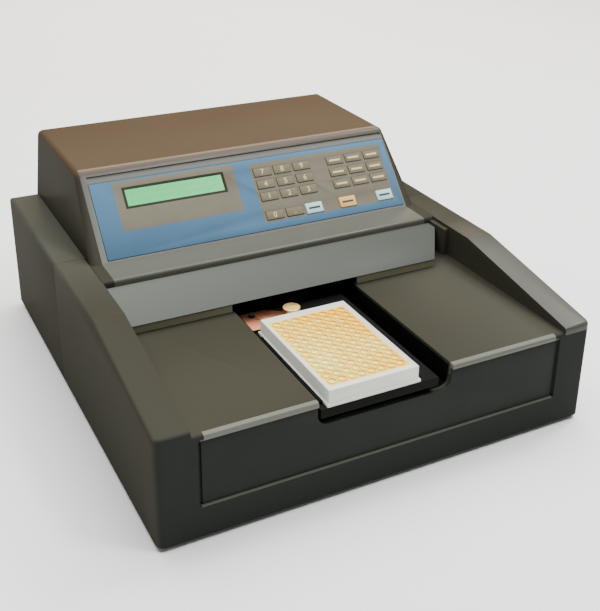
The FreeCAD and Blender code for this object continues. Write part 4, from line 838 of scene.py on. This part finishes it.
# Rear: a painted steel panel with its vents, the mains inlet, the rocker switch and two
# data sockets, whose flanges seat on its outer face.
rear_finish = moulded("rear_paint", tint(62, 59, 49), tint(70, 67, 56), 0.45, 800.0)
rear_finish.on(cad_copy("rear_panel", "rear_sheet_panel", 0.0003))
shell_finish = moulded("black_shell", tint(16, 16, 16), tint(22, 22, 22), 0.35, 900.0)
shell_finish.on(cad_copy("power_inlet", "mains_inlet", 0.0003),
                cad_copy("switch_housing", "switch_frame", 0.0003))

# the rocker, printed white with a bar for on and a ring for off
MARK_SPREAD = 0.0052
ON_HALF = 0.0022
ON_THIN = 0.0005
OFF_OUTER = 0.0022
OFF_INNER = 0.0015
rocker = cad_copy("power_rocker", "switch_rocker", 0.0003)
rocker_low, rocker_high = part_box("power_rocker")
rocker_middle = (rocker_low + rocker_high) / 2
rocker_finish = Finish("printed_rocker", Specular_IOR_Level=0.2)
mark_x = rocker_finish.place.part(0) - rocker_middle.x
mark_z = rocker_finish.place.part(2) - rocker_middle.z
on_mark = (abs(mark_x) < ON_THIN) * (abs(mark_z - MARK_SPREAD) < ON_HALF)
off_z = mark_z + MARK_SPREAD
reach = mark_x * mark_x + off_z * off_z
off_mark = (reach < OFF_OUTER ** 2) * (reach > OFF_INNER ** 2)
outside = rocker_finish.place.part(1) > rocker_middle.y
rocker_finish.feed("Base Color", ((on_mark + off_mark) * outside).clamped().mix(
    tint(20, 20, 20), tint(214, 214, 208)))
rocker_finish.feed("Roughness", 0.35 + rocker_finish.place.noise(400.0, 2) * 0.06)
rocker_finish.on(rocker)

# screws that hold the rear panel, domed and cross-slotted, each drawn facing the rear
# round the origin
PANEL_SCREWS = ((-0.186, 0.024), (0.186, 0.024), (-0.186, 0.084), (0.186, 0.084),
                (-0.150, 0.176), (0.150, 0.176))
HEAD_RADIUS = 0.0032
HEAD_DEEP = 0.0016
HEAD_ROUND = 0.0008
HEAD_CROWN = 0.0003
HEAD_SEAT = 0.0001
SLOT_WIDE = 0.0008
SLOT_LONG = 0.0040
TO_REAR = (math.radians(-90), 0, 0)
panel_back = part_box("rear_panel")[1].y


def stud(sides, radius, depth, inset, push):
    """A short round or many-sided stud, its rear end inset and then pushed out or in."""
    bpy.ops.mesh.primitive_cylinder_add(vertices=sides, radius=radius, depth=depth,
                                        location=(0, 0, 0), rotation=TO_REAR)
    piece = bpy.context.object
    bpy.ops.object.transform_apply(location=True, rotation=True, scale=True)
    for polygon in piece.data.polygons:
        polygon.select = polygon.normal.y > FACING
    bpy.ops.object.mode_set(mode="EDIT")
    bpy.ops.mesh.select_mode(type="FACE")
    bpy.ops.mesh.inset(thickness=inset)
    bpy.ops.transform.translate(value=(0, push, 0))
    bpy.ops.object.mode_set(mode="OBJECT")
    return piece


head = stud(20, HEAD_RADIUS, HEAD_DEEP, HEAD_ROUND, HEAD_CROWN)
for turn in (0.0, math.radians(90)):
    bpy.ops.mesh.primitive_cube_add(size=1.0, location=(0, HEAD_DEEP / 2, 0),
                                    rotation=(0, turn, 0))
    slot = bpy.context.object
    slot.scale = (SLOT_LONG, HEAD_DEEP, SLOT_WIDE)
    cut_by(head, slot)
soften(head, 0.0)


def repeat_at(piece, name, spots):
    """Copy a piece to each spot and join the copies into one with its place applied."""
    copies = []
    for spot in spots:
        copy = bpy.data.objects.new(name, piece.data.copy())
        bpy.context.scene.collection.objects.link(copy)
        copy.location = spot
        copies.append(copy)
    bpy.data.objects.remove(piece)
    bpy.ops.object.select_all(action="DESELECT")
    for copy in copies:
        copy.select_set(True)
    bpy.context.view_layer.objects.active = copies[0]
    bpy.ops.object.transform_apply(location=True, rotation=True, scale=True)
    bpy.ops.object.join()
    joined = bpy.context.object
    joined.name = name
    return joined


heads = repeat_at(head, "rear_panel_screws",
                  [(x, panel_back + HEAD_DEEP / 2 - HEAD_SEAT, z) for x, z in PANEL_SCREWS])
screw_finish.on(heads)
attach(heads, nodes["rear_panel"]["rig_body"])

# data sockets, each held by a pair of hexagonal nuts
socket_finish = Finish("plated_shell", Metallic=1.0)
socket_grain = socket_finish.place.noise(160.0, 3)
socket_finish.feed("Base Color", socket_grain.mix(tint(134, 133, 127), tint(158, 156, 149)))
socket_finish.feed("Roughness", 0.28 + socket_grain * 0.12)
socket_finish.bump(socket_grain, 0.1, 0.00003)
socket_finish.on(cad_copy("data_sockets", "data_shells", 0.0003))
SOCKET_X = (0.084, 0.146)
SOCKET_Z = 0.042
NUT_SPREAD = 0.0225
NUT_RADIUS = 0.0028
NUT_DEEP = 0.0030
NUT_BACK = 0.21745
NUT_WALL = 0.0011
NUT_BORE = 0.0015
nut = stud(6, NUT_RADIUS, NUT_DEEP, NUT_WALL, -NUT_BORE)
soften(nut, 0.0002)
nuts = repeat_at(nut, "socket_nuts",
                 [(socket_x + side * NUT_SPREAD, NUT_BACK + NUT_DEEP / 2, SOCKET_Z)
                  for socket_x in SOCKET_X for side in (-1, 1)])
socket_finish.on(nuts)
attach(nuts, "case")

# the black insert in each shell's mouth, with two rows of brass contacts
INSERT_HALF = 0.0166
INSERT_FLARE = 1.05
INSERT_HIGH = 0.0056
INSERT_DEEP = 0.0003
CONTACT_PITCHES = 22
CONTACT_PITCH = (SOCKET_X[1] - SOCKET_X[0]) / CONTACT_PITCHES
CONTACT_ROW = 0.0014
CONTACT_RADIUS = 0.0005
bpy.ops.mesh.primitive_plane_add(size=1.0, location=(0, 0, 0), rotation=TO_REAR)
insert = bpy.context.object
insert.scale = (INSERT_HALF * 2, INSERT_HIGH, 1.0)
bpy.ops.object.transform_apply(location=True, rotation=True, scale=True)
for vertex in insert.data.vertices:
    vertex.select = vertex.co.z > 0
bpy.ops.object.mode_set(mode="EDIT")
bpy.ops.mesh.select_mode(type="VERT")
bpy.ops.transform.resize(value=(INSERT_FLARE, 1, 1), center_override=(0, 0, 0))
bpy.ops.mesh.select_all(action="SELECT")
bpy.ops.mesh.extrude_region_move(TRANSFORM_OT_translate={"value": (0, INSERT_DEEP, 0)})
bpy.ops.mesh.select_all(action="SELECT")
bpy.ops.mesh.normals_make_consistent(inside=False)
bpy.ops.object.mode_set(mode="OBJECT")
soften(insert, 0.0)
shell_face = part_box("data_sockets")[1].y
inserts = repeat_at(insert, "socket_inserts",
                    [(x, shell_face - INSERT_DEEP / 2, SOCKET_Z) for x in SOCKET_X])
insert_finish = Finish("contact_insert", Specular_IOR_Level=0.2)
contact_x = insert_finish.place.part(0) - SOCKET_X[0]
contact_z = insert_finish.place.part(2) - SOCKET_Z
contacts = 0.0
for phase, row in ((CONTACT_PITCH / 2, CONTACT_ROW), (0.0, -CONTACT_ROW)):
    along = (contact_x + phase) % CONTACT_PITCH - CONTACT_PITCH / 2
    rise = contact_z - row
    contacts = (along * along + rise * rise < CONTACT_RADIUS ** 2) + contacts
insert_finish.feed("Base Color", contacts.clamped().mix(tint(18, 18, 18), tint(188, 160, 104)))
insert_finish.feed("Roughness", 0.4 + insert_finish.place.noise(500.0, 2) * 0.06)
insert_finish.on(inserts)
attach(inserts, "case")
